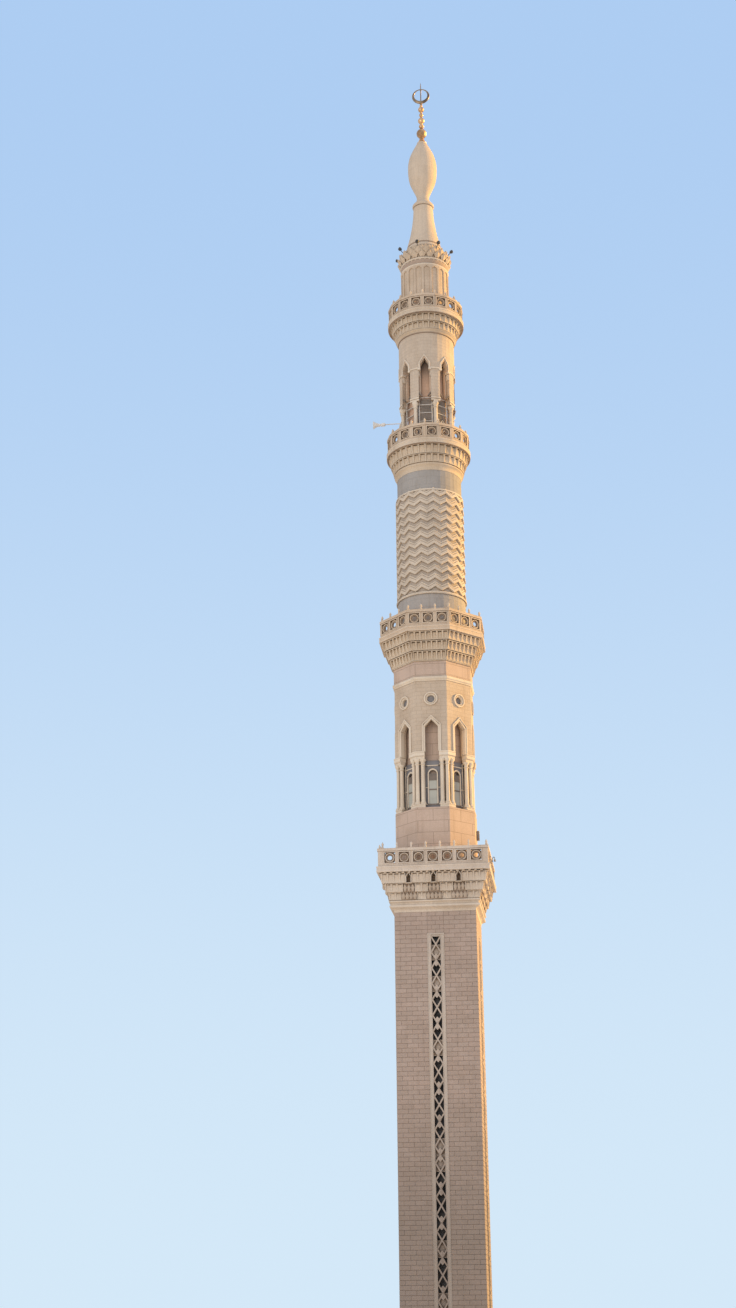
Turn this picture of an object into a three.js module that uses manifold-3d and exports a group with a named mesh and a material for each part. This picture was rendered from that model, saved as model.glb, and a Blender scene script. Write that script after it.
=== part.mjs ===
// Tall stone minaret as a 1:10 scale model: a square shaft, an octagonal stage, two round
// stages and a spire, with a walled balcony between each stage and the next.
// Millimetres, +Z up, origin at the centre of the foot, the front face looks along -Y.
import * as THREE from 'three';
import { mergeVertices } from 'three/addons/utils/BufferGeometryUtils.js';
import Module from 'manifold-3d';

const wasm = await Module();
wasm.setup();

// One metre of the real tower is this many millimetres of the model
const M = 100;
// Gap in model millimetres between curved or let-in pieces that touch
const GAP = 0.3;

// Square shaft with an openwork band up the middle of each face
const SHAFT = { half: 2.96 * M, wall: 0.75 * M, top: 29.25 * M };
const LATTICE = {
  width: 1.04 * M, sill: 1.2 * M, top: 27.6 * M, frame: 0.18 * M,
  bar: 0.1 * M, depth: 0.25 * M, proud: 0.03 * M, cells: 23,
};

// Levels at which each stage starts, real metres times M
const LEVEL = {
  squareSlab: 32.08 * M, squareFloor: 32.45 * M,
  plinthTop: 37.1 * M, columnTop: 40.85 * M, entablatureTop: 41.4 * M,
  stringCourse: 47.1 * M, octagonCorbel: 48.6 * M,
  octagonSlab: 50.8 * M, octagonFloor: 51.15 * M,
  zigzagBase: 54.3 * M, zigzagTop: 63.25 * M, lowerCorbel: 64.95 * M,
  lowerSlab: 67.05 * M, lowerFloor: 67.4 * M, impost: 71.35 * M, upperCorbel: 77.6 * M,
  upperSlab: 79.12 * M, upperFloor: 79.45 * M,
  crown: 84.95 * M, cone: 86.45 * M, bulb: 91.35 * M, finial: 97.5 * M, tip: 104 * M,
};

// Half-widths across the flats, from the axis
const SQUARE_FASCIA = 4.12 * M;
const OCTAGON_FASCIA = 4.0 * M;
const LOWER_FASCIA = 3.38 * M;
const UPPER_FASCIA = 3.13 * M;
const PLINTH = { outer: 2.98 * M, core: 2.2 * M, coreWall: 0.45 * M };
const OCTAGON_WALL = { outer: 2.93 * M, inner: 2.42 * M };
const ROUND_WALL = { inner: 2.1 * M, lowBand: 2.66 * M, highBand: 2.57 * M };
const LANTERN = {
  outer: 2.28 * M, inner: 1.83 * M, core: 1.3 * M, coreInner: 1.05 * M, coreTop: 74.3 * M, well: 1.1 * M,
};
const DRUM = { outer: 1.92 * M, inner: 1.5 * M };

// Parapet shared by the four balconies: heights above the balcony floor
const PARAPET = {
  wall: 0.25 * M, railLow: 1.17 * M, top: 1.37 * M, railProud: 0.05 * M, holeLow: 0.27 * M,
  hole: 0.8 * M, holeWide: 0.78 * M, post: 0.13 * M, postHeight: 0.34 * M,
};

const ROUND_SIDES = 36;
const SPIRE_SIDES = 18;
const LANTERN_SIDES = 32;
const CURVE_STEPS = 5;
const STAIR_WELL = 1.4 * M;

const stone = new THREE.MeshStandardMaterial({ color: 0xd9c6a5, roughness: 0.85, metalness: 0 });
const pinkStone = new THREE.MeshStandardMaterial({ color: 0xb9a294, roughness: 0.85, metalness: 0 });
const greyStone = new THREE.MeshStandardMaterial({ color: 0xa7a39c, roughness: 0.75, metalness: 0 });
const paleStone = new THREE.MeshStandardMaterial({ color: 0xe6dccb, roughness: 0.7, metalness: 0 });
const gilt = new THREE.MeshStandardMaterial({ color: 0xb08d4f, roughness: 0.35, metalness: 1 });
const whitePaint = new THREE.MeshStandardMaterial({ color: 0xe8e6df, roughness: 0.5, metalness: 0.2 });
const greyPaint = new THREE.MeshStandardMaterial({ color: 0x6f7072, roughness: 0.5, metalness: 0.4 });

const tower = new THREE.Group();

function addPiece(name, solid, material) {
  const mesh = new THREE.Mesh(geometryOf(solid), material);
  mesh.name = name;
  tower.add(mesh);
}

// A closed three.js geometry as a manifold solid, whichever way its faces point
function solidOf(geometry) {
  const bare = geometry.clone();
  bare.deleteAttribute('normal');
  bare.deleteAttribute('uv');
  const merged = mergeVertices(bare, 0.01);
  const position = merged.attributes.position;
  const corners = [];
  let volume = 0;
  for (let i = 0; i < merged.index.count; i += 3) {
    const [a, b, c] = [0, 1, 2].map((k) => merged.index.getX(i + k));
    if (a === b || b === c || c === a) continue;
    corners.push(a, b, c);
    const [p, q, r] = [a, b, c].map((v) => new THREE.Vector3().fromBufferAttribute(position, v));
    volume += p.dot(q.cross(r));
  }
  if (volume < 0) corners.reverse();
  return new wasm.Manifold(new wasm.Mesh({
    numProp: 3,
    vertProperties: new Float32Array(position.array),
    triVerts: new Uint32Array(corners),
  }));
}

function geometryOf(solid) {
  const mesh = solid.getMesh();
  const geometry = new THREE.BufferGeometry();
  geometry.setAttribute('position', new THREE.BufferAttribute(new Float32Array(mesh.vertProperties), 3));
  geometry.setIndex(new THREE.BufferAttribute(new Uint32Array(mesh.triVerts), 1));
  geometry.computeVertexNormals();
  return geometry;
}

function joined(solids) {
  return solids.reduce((whole, next) => whole.add(next));
}

// A body of revolution with flat sides, one of them facing the front. Each profile point is
// [half-width across the flats, height]; a profile off the axis closes on itself.
function turned(profile, sides) {
  const points = profile.map(([across, height]) => (
    new THREE.Vector2(across / Math.cos(Math.PI / sides), height)
  ));
  if (profile[0][0] > 0) points.push(points[0].clone());
  const geometry = new THREE.LatheGeometry(points, sides, Math.PI / sides);
  return geometry.rotateX(Math.PI / 2);
}

function ring(outer, inner, low, high, sides) {
  return turned([[inner, low], [outer, low], [outer, high], [inner, high]], sides);
}

function block(x0, x1, y0, y1, z0, z1) {
  const geometry = new THREE.BoxGeometry(x1 - x0, y1 - y0, z1 - z0);
  return geometry.translate((x0 + x1) / 2, (y0 + y1) / 2, (z0 + z1) / 2);
}

// An outline drawn on the front elevation, x across and y up, made solid from yFront to yBack
function elevation(outline, yFront, yBack) {
  const options = { depth: yBack - yFront, bevelEnabled: false, curveSegments: CURVE_STEPS };
  const geometry = new THREE.ExtrudeGeometry(outline, options);
  return geometry.rotateX(Math.PI / 2).translate(0, yBack, 0);
}

function plan(outline, low, high) {
  const options = { depth: high - low, bevelEnabled: false };
  return new THREE.ExtrudeGeometry(outline, options).translate(0, 0, low);
}

function shapeOf(points) {
  return new THREE.Shape(points.map(([x, y]) => new THREE.Vector2(x, y)));
}

function rectangle(x0, x1, y0, y1) {
  return shapeOf([[x0, y0], [x1, y0], [x1, y1], [x0, y1]]);
}

// A pointed arch: straight jambs up to the spring line, then two leaning arcs to the apex
function pointedArch(width, low, spring, apex) {
  const half = width / 2;
  const steps = 3;
  const curve = [];
  for (let i = 0; i <= steps; i += 1) {
    const t = i / steps;
    const x = half * Math.cos((t * Math.PI) / 2) ** 0.9;
    curve.push([x, spring + (apex - spring) * t ** 1.25]);
  }
  curve[steps][0] = 0;
  const mirrored = curve.slice(0, -1).reverse().map(([x, z]) => [-x, z]);
  return shapeOf([[-half, low], [half, low], ...curve, ...mirrored]);
}

// Pieces turned about the axis; angles count from the front face towards +X
function aboutAxis(geometry, degrees) {
  return geometry.clone().rotateZ(THREE.MathUtils.degToRad(degrees));
}

function outwards(degrees, distance, sideways = 0) {
  const angle = THREE.MathUtils.degToRad(degrees);
  return [
    distance * Math.sin(angle) + sideways * Math.cos(angle),
    -distance * Math.cos(angle) + sideways * Math.sin(angle),
  ];
}

const SIDES = [['front', 0], ['right', 90], ['back', 180], ['left', 270]];

// Shaft walls: the front and back run the full width, the other two stand between them
function shaftWall(halfWidth) {
  const outline = rectangle(-halfWidth, halfWidth, 0, SHAFT.top);
  const slot = LATTICE.width / 2 + GAP;
  outline.holes.push(rectangle(-slot, slot, LATTICE.sill, LATTICE.top + GAP));
  return elevation(outline, -SHAFT.half, -SHAFT.half + SHAFT.wall);
}

// Crossing bars in a frame: lozenges up the middle and triangles at both sides
function latticePanel() {
  const halfWidth = LATTICE.width / 2;
  const reach = halfWidth - LATTICE.frame;
  const low = LATTICE.sill + LATTICE.frame;
  const rise = (LATTICE.top - LATTICE.frame - low) / LATTICE.cells / 2;
  const slant = Math.hypot(reach, rise);
  const trimX = (LATTICE.bar / 2) * (slant / rise);
  const trimZ = (LATTICE.bar / 2) * (slant / reach);
  const outline = rectangle(-halfWidth, halfWidth, LATTICE.sill, LATTICE.top);
  for (let cell = 0; cell <= LATTICE.cells; cell += 1) {
    const z = low + 2 * rise * cell;
    const lozenge = [[reach - trimX, z], [-(reach - trimX), z]];
    if (cell < LATTICE.cells) lozenge.splice(1, 0, [0, z + rise - trimZ]);
    if (cell > 0) lozenge.push([0, z - rise + trimZ]);
    outline.holes.push(shapeOf(lozenge));
    if (cell === LATTICE.cells) break;
    for (const side of [-1, 1]) {
      outline.holes.push(shapeOf([
        [side * reach, z + trimZ], [side * reach, z + 2 * rise - trimZ], [side * trimX, z + rise],
      ]));
    }
  }
  const front = -SHAFT.half - LATTICE.proud;
  return elevation(outline, front, front + LATTICE.depth);
}

for (const [side, turn] of SIDES) {
  const halfWidth = turn % 180 === 0 ? SHAFT.half : SHAFT.half - SHAFT.wall;
  addPiece(`shaft_wall_${side}`, solidOf(aboutAxis(shaftWall(halfWidth), turn)), pinkStone);
}
for (const [side, turn] of SIDES) {
  addPiece(`shaft_lattice_${side}`, solidOf(aboutAxis(latticePanel(), turn)), paleStone);
}

// A corbel that steps outwards in tiers, each with a sharp lower edge. Each tier is
// [half-width at its lower edge, height of that edge].
function corbelProfile(foot, tiers, top, inner) {
  const profile = [[inner, foot[1]], foot];
  tiers.forEach(([across, height], i) => {
    const next = i + 1 < tiers.length ? tiers[i + 1] : top;
    profile.push([across, height], [next[0] - 0.08 * M, next[1] - 0.07 * M]);
  });
  profile.push(top, [inner, top[1]]);
  return profile;
}

addPiece('square_corbel', solidOf(turned(corbelProfile(
  [SHAFT.half, SHAFT.top],
  [[3.28 * M, 29.6 * M], [3.34 * M, 29.99 * M], [3.57 * M, 30.62 * M], [3.83 * M, 31.24 * M]],
  [SQUARE_FASCIA, LEVEL.squareSlab],
  SHAFT.half - SHAFT.wall,
), 4)), stone);

function balconySlab(outer, well, low, high, sides) {
  return solidOf(ring(outer, well, low, high, sides));
}
addPiece('square_balcony_floor', balconySlab(
  SQUARE_FASCIA, STAIR_WELL, LEVEL.squareSlab, LEVEL.squareFloor, 4,
), stone);

// A small pointed post set on the rail
function railPost(x, y, base) {
  const half = PARAPET.post / 2;
  const post = turned([
    [0, -0.02 * M], [half, -0.02 * M], [half, 0.6 * PARAPET.postHeight], [0, PARAPET.postHeight],
  ], 4);
  return solidOf(post.translate(x, y, base));
}

// One straight side of the square balcony's parapet, with its pierced bays left open
function straightParapet(face, halfWidth, floor, bays, spacing, postRows) {
  const low = floor + PARAPET.holeLow;
  let wall = solidOf(block(
    -halfWidth, halfWidth, -face, -face + PARAPET.wall, floor, floor + PARAPET.railLow + GAP,
  ));
  for (let bay = 0; bay < bays; bay += 1) {
    const x = (bay - (bays - 1) / 2) * spacing;
    wall = wall.subtract(solidOf(block(
      x - PARAPET.holeWide / 2, x + PARAPET.holeWide / 2,
      -face - PARAPET.wall, -face + 2 * PARAPET.wall, low, low + PARAPET.hole,
    )));
  }
  const solids = [wall];
  const railHalf = halfWidth === face ? face + PARAPET.railProud : halfWidth;
  solids.push(solidOf(block(
    -railHalf, railHalf, -face - PARAPET.railProud, -face + PARAPET.wall,
    floor + PARAPET.railLow, floor + PARAPET.top,
  )));
  for (const x of postRows) {
    solids.push(railPost(x, -face + PARAPET.wall / 2, floor + PARAPET.top));
  }
  return joined(solids);
}

const SQUARE_PARAPET = 4.03 * M;
const SQUARE_BAYS = 7;
const SQUARE_SPACING = 1.054 * M;
for (const [side, turn] of SIDES) {
  const long = turn % 180 === 0;
  const posts = [];
  for (let i = long ? 0 : 1; i <= (long ? SQUARE_BAYS : SQUARE_BAYS - 1); i += 1) {
    posts.push((i - SQUARE_BAYS / 2) * SQUARE_SPACING);
  }
  if (long) {
    posts[0] = -SQUARE_PARAPET + PARAPET.wall / 2;
    posts[SQUARE_BAYS] = SQUARE_PARAPET - PARAPET.wall / 2;
  }
  const halfWidth = long ? SQUARE_PARAPET : SQUARE_PARAPET - PARAPET.wall;
  const panel = straightParapet(
    SQUARE_PARAPET, halfWidth, LEVEL.squareFloor, SQUARE_BAYS, SQUARE_SPACING, posts,
  );
  const turnedPanel = solidOf(aboutAxis(geometryOf(panel), turn));
  addPiece(`square_balustrade_${side}`, turnedPanel, stone);
}

// Octagonal stage: a plinth round an inner stair core, then columns, screens and arches
addPiece('octagon_plinth', solidOf(ring(
  PLINTH.outer, PLINTH.core + GAP, LEVEL.squareFloor, LEVEL.plinthTop, 8,
)), pinkStone);
addPiece('octagon_stair_core', solidOf(ring(
  PLINTH.core, PLINTH.core - PLINTH.coreWall, LEVEL.squareFloor, LEVEL.octagonSlab, 8,
)), pinkStone);

// A block in plan that wraps one corner of the octagon
const HALF_FACE = Math.tan(Math.PI / 8);
function cornerBlock(corner, outer, inner, reach, low, high) {
  const end = outer * HALF_FACE - reach;
  const first = corner - 22.5;
  const second = corner + 22.5;
  return solidOf(plan(shapeOf([
    outwards(first, outer, end), outwards(first, outer, outer * HALF_FACE),
    outwards(second, outer, -end), outwards(second, inner, -end),
    outwards(first, inner, inner * HALF_FACE), outwards(first, inner, end),
  ]), low, high));
}

const CLUSTER = { line: 2.72 * M, spacing: 0.4 * M, radius: 0.115 * M, base: 0.25 * M, reach: 0.66 * M };
function column(x, y, radius, low, high, sides) {
  return solidOf(turned([[0, low], [radius, low], [radius, high], [0, high]], sides).translate(x, y, 0));
}
for (let i = 0; i < 8; i += 1) {
  const corner = 22.5 + 45 * i;
  const bite = 0.02 * M;
  const atCorner = CLUSTER.line * HALF_FACE;
  const places = [
    outwards(corner - 22.5, CLUSTER.line, atCorner),
    outwards(corner - 22.5, CLUSTER.line, atCorner - CLUSTER.spacing),
    outwards(corner + 22.5, CLUSTER.line, CLUSTER.spacing - atCorner),
  ];
  const foot = LEVEL.plinthTop + CLUSTER.base;
  addPiece(`corner_columns_${i + 1}`, joined([
    cornerBlock(corner, 2.92 * M, 2.54 * M, CLUSTER.reach, LEVEL.plinthTop, foot),
    ...places.map(([x, y]) => (
      column(x, y, CLUSTER.radius, foot - bite, LEVEL.columnTop + bite, 8)
    )),
    cornerBlock(corner, 2.95 * M, 2.5 * M, CLUSTER.reach, LEVEL.columnTop, 41.1 * M),
    cornerBlock(corner, 3.03 * M, 2.45 * M, CLUSTER.reach + 0.05 * M, 41.1 * M, LEVEL.entablatureTop),
  ]), paleStone);
}

// Screens behind the columns, one round-headed window in each face
const SCREEN = { outer: 2.4 * M, inner: 2.28 * M, window: 0.6 * M, sill: 37.6 * M, spring: 39.8 * M };
const screenWindow = new THREE.Shape();
screenWindow.moveTo(-SCREEN.window / 2, SCREEN.sill);
screenWindow.lineTo(SCREEN.window / 2, SCREEN.sill);
screenWindow.lineTo(SCREEN.window / 2, SCREEN.spring);
screenWindow.absarc(0, SCREEN.spring, SCREEN.window / 2, 0, Math.PI, false);
let screens = solidOf(ring(SCREEN.outer, SCREEN.inner, LEVEL.plinthTop, LEVEL.columnTop, 8));
for (let i = 0; i < 4; i += 1) {
  const cutter = elevation(screenWindow, -OCTAGON_FASCIA, OCTAGON_FASCIA);
  screens = screens.subtract(solidOf(aboutAxis(cutter, 45 * i)));
}
addPiece('octagon_window_screens', screens, greyStone);

// Arcade wall above the columns: a pointed arch and a round light in each face
const ARCH = { width: 1.02 * M, spring: 43.3 * M, apex: 44.2 * M };
const OCULUS = { height: 45.6 * M, radius: 0.3 * M };
let arcade = solidOf(turned([
  [OCTAGON_WALL.inner, LEVEL.entablatureTop], [OCTAGON_WALL.outer, LEVEL.entablatureTop],
  [OCTAGON_WALL.outer, LEVEL.stringCourse], [3.01 * M, 47.2 * M], [3.01 * M, 47.34 * M],
  [2.95 * M, 47.4 * M], [2.95 * M, LEVEL.octagonCorbel], [OCTAGON_WALL.inner, LEVEL.octagonCorbel],
], 8));
for (let i = 0; i < 4; i += 1) {
  const arch = pointedArch(ARCH.width, LEVEL.entablatureTop - 0.1 * M, ARCH.spring, ARCH.apex);
  const round = new THREE.Shape().absarc(0, OCULUS.height, OCULUS.radius, 0, 2 * Math.PI, false);
  for (const outline of [arch, round]) {
    const cutter = elevation(outline, -OCTAGON_FASCIA, OCTAGON_FASCIA);
    arcade = arcade.subtract(solidOf(aboutAxis(cutter, 45 * i)));
  }
}
addPiece('octagon_arcade_wall', arcade, stone);

addPiece('octagon_corbel', solidOf(turned(corbelProfile(
  [2.95 * M, LEVEL.octagonCorbel],
  [[3.02 * M, 48.66 * M], [3.33 * M, 49.38 * M], [3.65 * M, 50.1 * M]],
  [OCTAGON_FASCIA, LEVEL.octagonSlab],
  OCTAGON_WALL.inner,
), 8)), stone);
addPiece('octagon_balcony_floor', balconySlab(
  OCTAGON_FASCIA, STAIR_WELL, LEVEL.octagonSlab, LEVEL.octagonFloor, 8,
), stone);

// A parapet that runs round the tower in one ring: an open bay between each post and the next
function ringParapet(outer, floor, sides, turn, bayAngles, postAngles, postDistance) {
  const wall = PARAPET.wall;
  const proud = PARAPET.railProud;
  let solid = solidOf(aboutAxis(turned([
    [outer - wall, floor], [outer, floor], [outer, floor + PARAPET.railLow],
    [outer + proud, floor + PARAPET.railLow], [outer + proud, floor + PARAPET.top],
    [outer - wall, floor + PARAPET.top],
  ], sides), turn));
  const low = floor + PARAPET.holeLow;
  for (const [angle, sideways] of bayAngles) {
    const cutter = block(
      sideways - PARAPET.holeWide / 2, sideways + PARAPET.holeWide / 2,
      -outer - 2 * proud, -outer + 1.6 * wall, low, low + PARAPET.hole,
    );
    solid = solid.subtract(solidOf(aboutAxis(cutter, angle)));
  }
  for (const angle of postAngles) {
    const [x, y] = outwards(angle[0], postDistance, angle[1]);
    solid = solid.add(railPost(x, y, floor + PARAPET.top));
  }
  return solid;
}

const OCTAGON_PARAPET = 3.92 * M;
const octagonBays = [];
const octagonPosts = [];
for (let face = 0; face < 8; face += 1) {
  for (const i of [-1, 0, 1]) octagonBays.push([45 * face, i * 1.06 * M]);
  for (const i of [-0.5, 0.5]) octagonPosts.push([45 * face, i * 1.06 * M]);
  octagonPosts.push([45 * face, (OCTAGON_PARAPET - PARAPET.wall / 2) * HALF_FACE]);
}
addPiece('octagon_balustrade', ringParapet(
  OCTAGON_PARAPET, LEVEL.octagonFloor, 8, 0, octagonBays, octagonPosts,
  OCTAGON_PARAPET - PARAPET.wall / 2,
), stone);

// Lower round stage: a grey band, a drum of zigzag courses, and a grey band again
addPiece('lower_grey_band', solidOf(ring(
  ROUND_WALL.lowBand, ROUND_WALL.inner, LEVEL.octagonFloor, LEVEL.zigzagBase, ROUND_SIDES,
)), greyStone);

const ZIGZAG = {
  base: 2.64 * M, relief: 2.73 * M, ringTop: 54.48 * M, ring: 2.77 * M,
  firstPeak: 54.84 * M, course: 0.732 * M, courses: 12, waves: 16, swing: 0.3 * M,
};
function zigzagDrum() {
  const columns = ZIGZAG.waves * 2;
  const across = 1 / Math.cos(Math.PI / columns);
  const flat = (radius, height) => ({ radius, height, swing: 0 });
  const rows = [
    flat(ROUND_WALL.inner, LEVEL.zigzagBase), flat(ZIGZAG.ring, LEVEL.zigzagBase),
    flat(ZIGZAG.ring, ZIGZAG.ringTop), flat(ZIGZAG.base, ZIGZAG.ringTop),
  ];
  for (let course = 0; course < ZIGZAG.courses; course += 1) {
    const height = ZIGZAG.firstPeak + course * ZIGZAG.course;
    rows.push({ radius: ZIGZAG.base, height, swing: ZIGZAG.swing });
    rows.push({ radius: ZIGZAG.relief, height, swing: ZIGZAG.swing });
  }
  rows.push(flat(ZIGZAG.base, LEVEL.zigzagTop), flat(ROUND_WALL.inner, LEVEL.zigzagTop));
  const vertices = [];
  const faces = [];
  rows.forEach((row) => {
    for (let i = 0; i < columns; i += 1) {
      const [x, y] = outwards((360 * i) / columns, row.radius * across);
      vertices.push(x, y, row.height - (i % 2 === 0 ? row.swing : 0));
    }
  });
  rows.forEach((row, r) => {
    const above = (r + 1) % rows.length;
    for (let i = 0; i < columns; i += 1) {
      const j = (i + 1) % columns;
      const [a, b] = [r * columns + i, r * columns + j];
      const [c, d] = [above * columns + i, above * columns + j];
      faces.push(a, b, d, a, d, c);
    }
  });
  const geometry = new THREE.BufferGeometry();
  geometry.setAttribute('position', new THREE.BufferAttribute(new Float32Array(vertices), 3));
  geometry.setIndex(faces);
  return geometry;
}
addPiece('zigzag_drum', solidOf(zigzagDrum()), stone);

addPiece('upper_grey_band', solidOf(ring(
  ROUND_WALL.highBand, ROUND_WALL.inner, LEVEL.zigzagTop, LEVEL.lowerCorbel, ROUND_SIDES,
)), greyStone);

addPiece('lower_round_corbel', solidOf(turned(corbelProfile(
  [2.58 * M, LEVEL.lowerCorbel],
  [[2.72 * M, 65.4 * M], [2.8 * M, 65.62 * M], [3.06 * M, 66.24 * M]],
  [LOWER_FASCIA, LEVEL.lowerSlab],
  ROUND_WALL.inner,
), ROUND_SIDES)), stone);
addPiece('lower_round_floor', balconySlab(
  LOWER_FASCIA, LANTERN.well, LEVEL.lowerSlab, LEVEL.lowerFloor, ROUND_SIDES,
), stone);

const ROUND_BAYS = 18;
const BAY_TURN = 180 / ROUND_BAYS;
const roundBays = [];
const roundPosts = [];
for (let i = 0; i < ROUND_BAYS; i += 1) {
  roundBays.push([BAY_TURN * (2 * i + 1), 0]);
  roundPosts.push([BAY_TURN * 2 * i, 0]);
}
function roundParapet(outer, floor) {
  const atPost = (outer - PARAPET.wall / 2) / Math.cos(Math.PI / ROUND_BAYS);
  return ringParapet(outer, floor, ROUND_BAYS, BAY_TURN, roundBays, roundPosts, atPost);
}
addPiece('lower_round_balustrade', roundParapet(3.27 * M, LEVEL.lowerFloor), stone);

// Lantern: a closed stair head in the middle, columns on a kerb, and arches above them
addPiece('lantern_stair_head', solidOf(turned([
  [0, LANTERN.coreTop], [1.2 * M, LANTERN.coreTop], [LANTERN.core, LANTERN.coreTop - 0.15 * M],
  [LANTERN.core, LEVEL.lowerFloor], [LANTERN.coreInner, LEVEL.lowerFloor],
  [LANTERN.coreInner, LANTERN.coreTop - 0.3 * M], [0, LANTERN.coreTop - 0.3 * M],
], 24)), pinkStone);

const LANTERN_COLUMN = {
  distance: 2.12 * M, radius: 0.13 * M, cap: 0.2 * M, kerb: 0.22 * M, kerbInner: 1.93 * M, kerbOuter: 2.3 * M,
};
const lanternColumns = [solidOf(ring(
  LANTERN_COLUMN.kerbOuter, LANTERN_COLUMN.kerbInner,
  LEVEL.lowerFloor, LEVEL.lowerFloor + LANTERN_COLUMN.kerb, ROUND_SIDES,
))];
for (let i = 0; i < 8; i += 1) {
  const angle = 22.5 + 45 * i;
  const [x, y] = outwards(angle, LANTERN_COLUMN.distance);
  lanternColumns.push(column(
    x, y, LANTERN_COLUMN.radius, LEVEL.lowerFloor + 0.1 * M, LEVEL.impost - 0.1 * M, 8,
  ));
  const capHalf = 0.19 * M;
  const cap = block(
    -capHalf, capHalf, -LANTERN_COLUMN.distance - capHalf, -LANTERN_COLUMN.distance + capHalf,
    LEVEL.impost - LANTERN_COLUMN.cap, LEVEL.impost,
  );
  lanternColumns.push(solidOf(aboutAxis(cap, angle)));
}
addPiece('lantern_columns', joined(lanternColumns), paleStone);

const LANTERN_ARCH = { width: 1.0 * M, spring: 74.1 * M, apex: 75.2 * M };
let lanternWall = solidOf(turned([
  [LANTERN.inner, LEVEL.impost], [LANTERN.outer, LEVEL.impost],
  [LANTERN.outer, LEVEL.upperCorbel], [LANTERN.inner, LEVEL.upperCorbel],
], LANTERN_SIDES));
for (let i = 0; i < 4; i += 1) {
  const arch = pointedArch(
    LANTERN_ARCH.width, LEVEL.impost - 0.1 * M, LANTERN_ARCH.spring, LANTERN_ARCH.apex,
  );
  const cutter = elevation(arch, -LOWER_FASCIA, LOWER_FASCIA);
  lanternWall = lanternWall.subtract(solidOf(aboutAxis(cutter, 45 * i)));
}
addPiece('lantern_arcade', lanternWall, stone);

// Metal railing behind the lantern's columns: one frame of rails in each of the eight bays
const RAILING = {
  across: (LANTERN_COLUMN.kerbInner - GAP) * Math.cos(Math.PI / 8),
  bar: 0.06 * M, top: 71.2 * M, step: 0.74 * M, rows: 5, bay: 0.96 * M, corner: 0.3 * M,
};
const railingFoot = RAILING.top - RAILING.rows * RAILING.step - RAILING.bar;
let railing = solidOf(ring(
  RAILING.across, RAILING.across - RAILING.bar, LEVEL.lowerFloor, RAILING.top, 8,
));
for (let i = 0; i < 4; i += 1) {
  for (let row = 0; row < RAILING.rows; row += 1) {
    const high = RAILING.top - row * RAILING.step - RAILING.bar;
    railing = railing.subtract(solidOf(aboutAxis(block(
      -RAILING.bay / 2, RAILING.bay / 2, -LOWER_FASCIA, LOWER_FASCIA,
      high - RAILING.step + RAILING.bar, high,
    ), 45 * i)));
  }
  railing = railing.subtract(solidOf(aboutAxis(block(
    -RAILING.corner / 2, RAILING.corner / 2, -LOWER_FASCIA, LOWER_FASCIA,
    railingFoot + RAILING.bar, RAILING.top - RAILING.bar,
  ), 45 * i + 22.5)));
}
addPiece('lantern_railing', railing, whitePaint);

addPiece('upper_round_corbel', solidOf(turned(corbelProfile(
  [LANTERN.outer + 0.02 * M, LEVEL.upperCorbel],
  [[2.42 * M, 77.72 * M], [2.5 * M, 77.9 * M], [2.78 * M, 78.48 * M]],
  [UPPER_FASCIA, LEVEL.upperSlab],
  LANTERN.inner,
), ROUND_SIDES)), stone);
addPiece('upper_round_floor', balconySlab(
  UPPER_FASCIA, STAIR_WELL, LEVEL.upperSlab, LEVEL.upperFloor, ROUND_SIDES,
), stone);
addPiece('upper_round_balustrade', roundParapet(3.03 * M, LEVEL.upperFloor), stone);

// Top drum with its ring, and the crown that leans out above it
addPiece('top_drum', solidOf(turned([
  [DRUM.inner, LEVEL.upperFloor], [DRUM.outer, LEVEL.upperFloor], [DRUM.outer, 84.62 * M],
  [1.99 * M, 84.7 * M], [1.99 * M, LEVEL.crown], [DRUM.inner, LEVEL.crown],
], 32)), stone);
addPiece('leaf_crown', solidOf(turned([
  [1.2 * M, LEVEL.crown], [1.97 * M, LEVEL.crown], [2.06 * M, 85.4 * M], [2.12 * M, 85.45 * M],
  [2.23 * M, 86.2 * M], [2.23 * M, 86.4 * M], [2.17 * M, LEVEL.cone], [1.2 * M, LEVEL.cone],
], 32)), stone);

// Spire: a hollow flared cone, a tall bulb on a slim neck, and the gilt finial
addPiece('spire_cone', solidOf(turned([
  [0, 91.1 * M], [0.55 * M, 91.1 * M], [0.66 * M, 89.6 * M], [0.9 * M, 87.8 * M], [1.25 * M, LEVEL.cone],
  [1.56 * M, LEVEL.cone], [1.46 * M, 86.8 * M], [1.42 * M, 87.0 * M], [1.3 * M, 87.06 * M],
  [1.13 * M, 88.1 * M], [0.98 * M, 89.1 * M], [0.88 * M, 90.1 * M], [0.85 * M, 90.95 * M],
  [0.93 * M, 91.02 * M], [0.93 * M, 91.22 * M], [0.8 * M, LEVEL.bulb], [0, LEVEL.bulb],
], SPIRE_SIDES)), stone);

const BULB = { bore: 0.12 * M, widest: 1.22 * M };
const bulbProfile = [[BULB.bore, LEVEL.bulb], [0.72 * M, LEVEL.bulb], [0.55 * M, 91.75 * M]];
for (const [share, height] of [
  [0.48, 92.2], [0.7, 92.75], [0.88, 93.35], [0.98, 94.0], [1, 94.6], [0.96, 95.3],
  [0.86, 96.0], [0.68, 96.7], [0.46, 97.2],
]) bulbProfile.push([BULB.widest * share, height * M]);
bulbProfile.push([0.42 * M, LEVEL.finial], [BULB.bore, LEVEL.finial]);
addPiece('spire_bulb', solidOf(turned(bulbProfile, SPIRE_SIDES)), stone);

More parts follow.
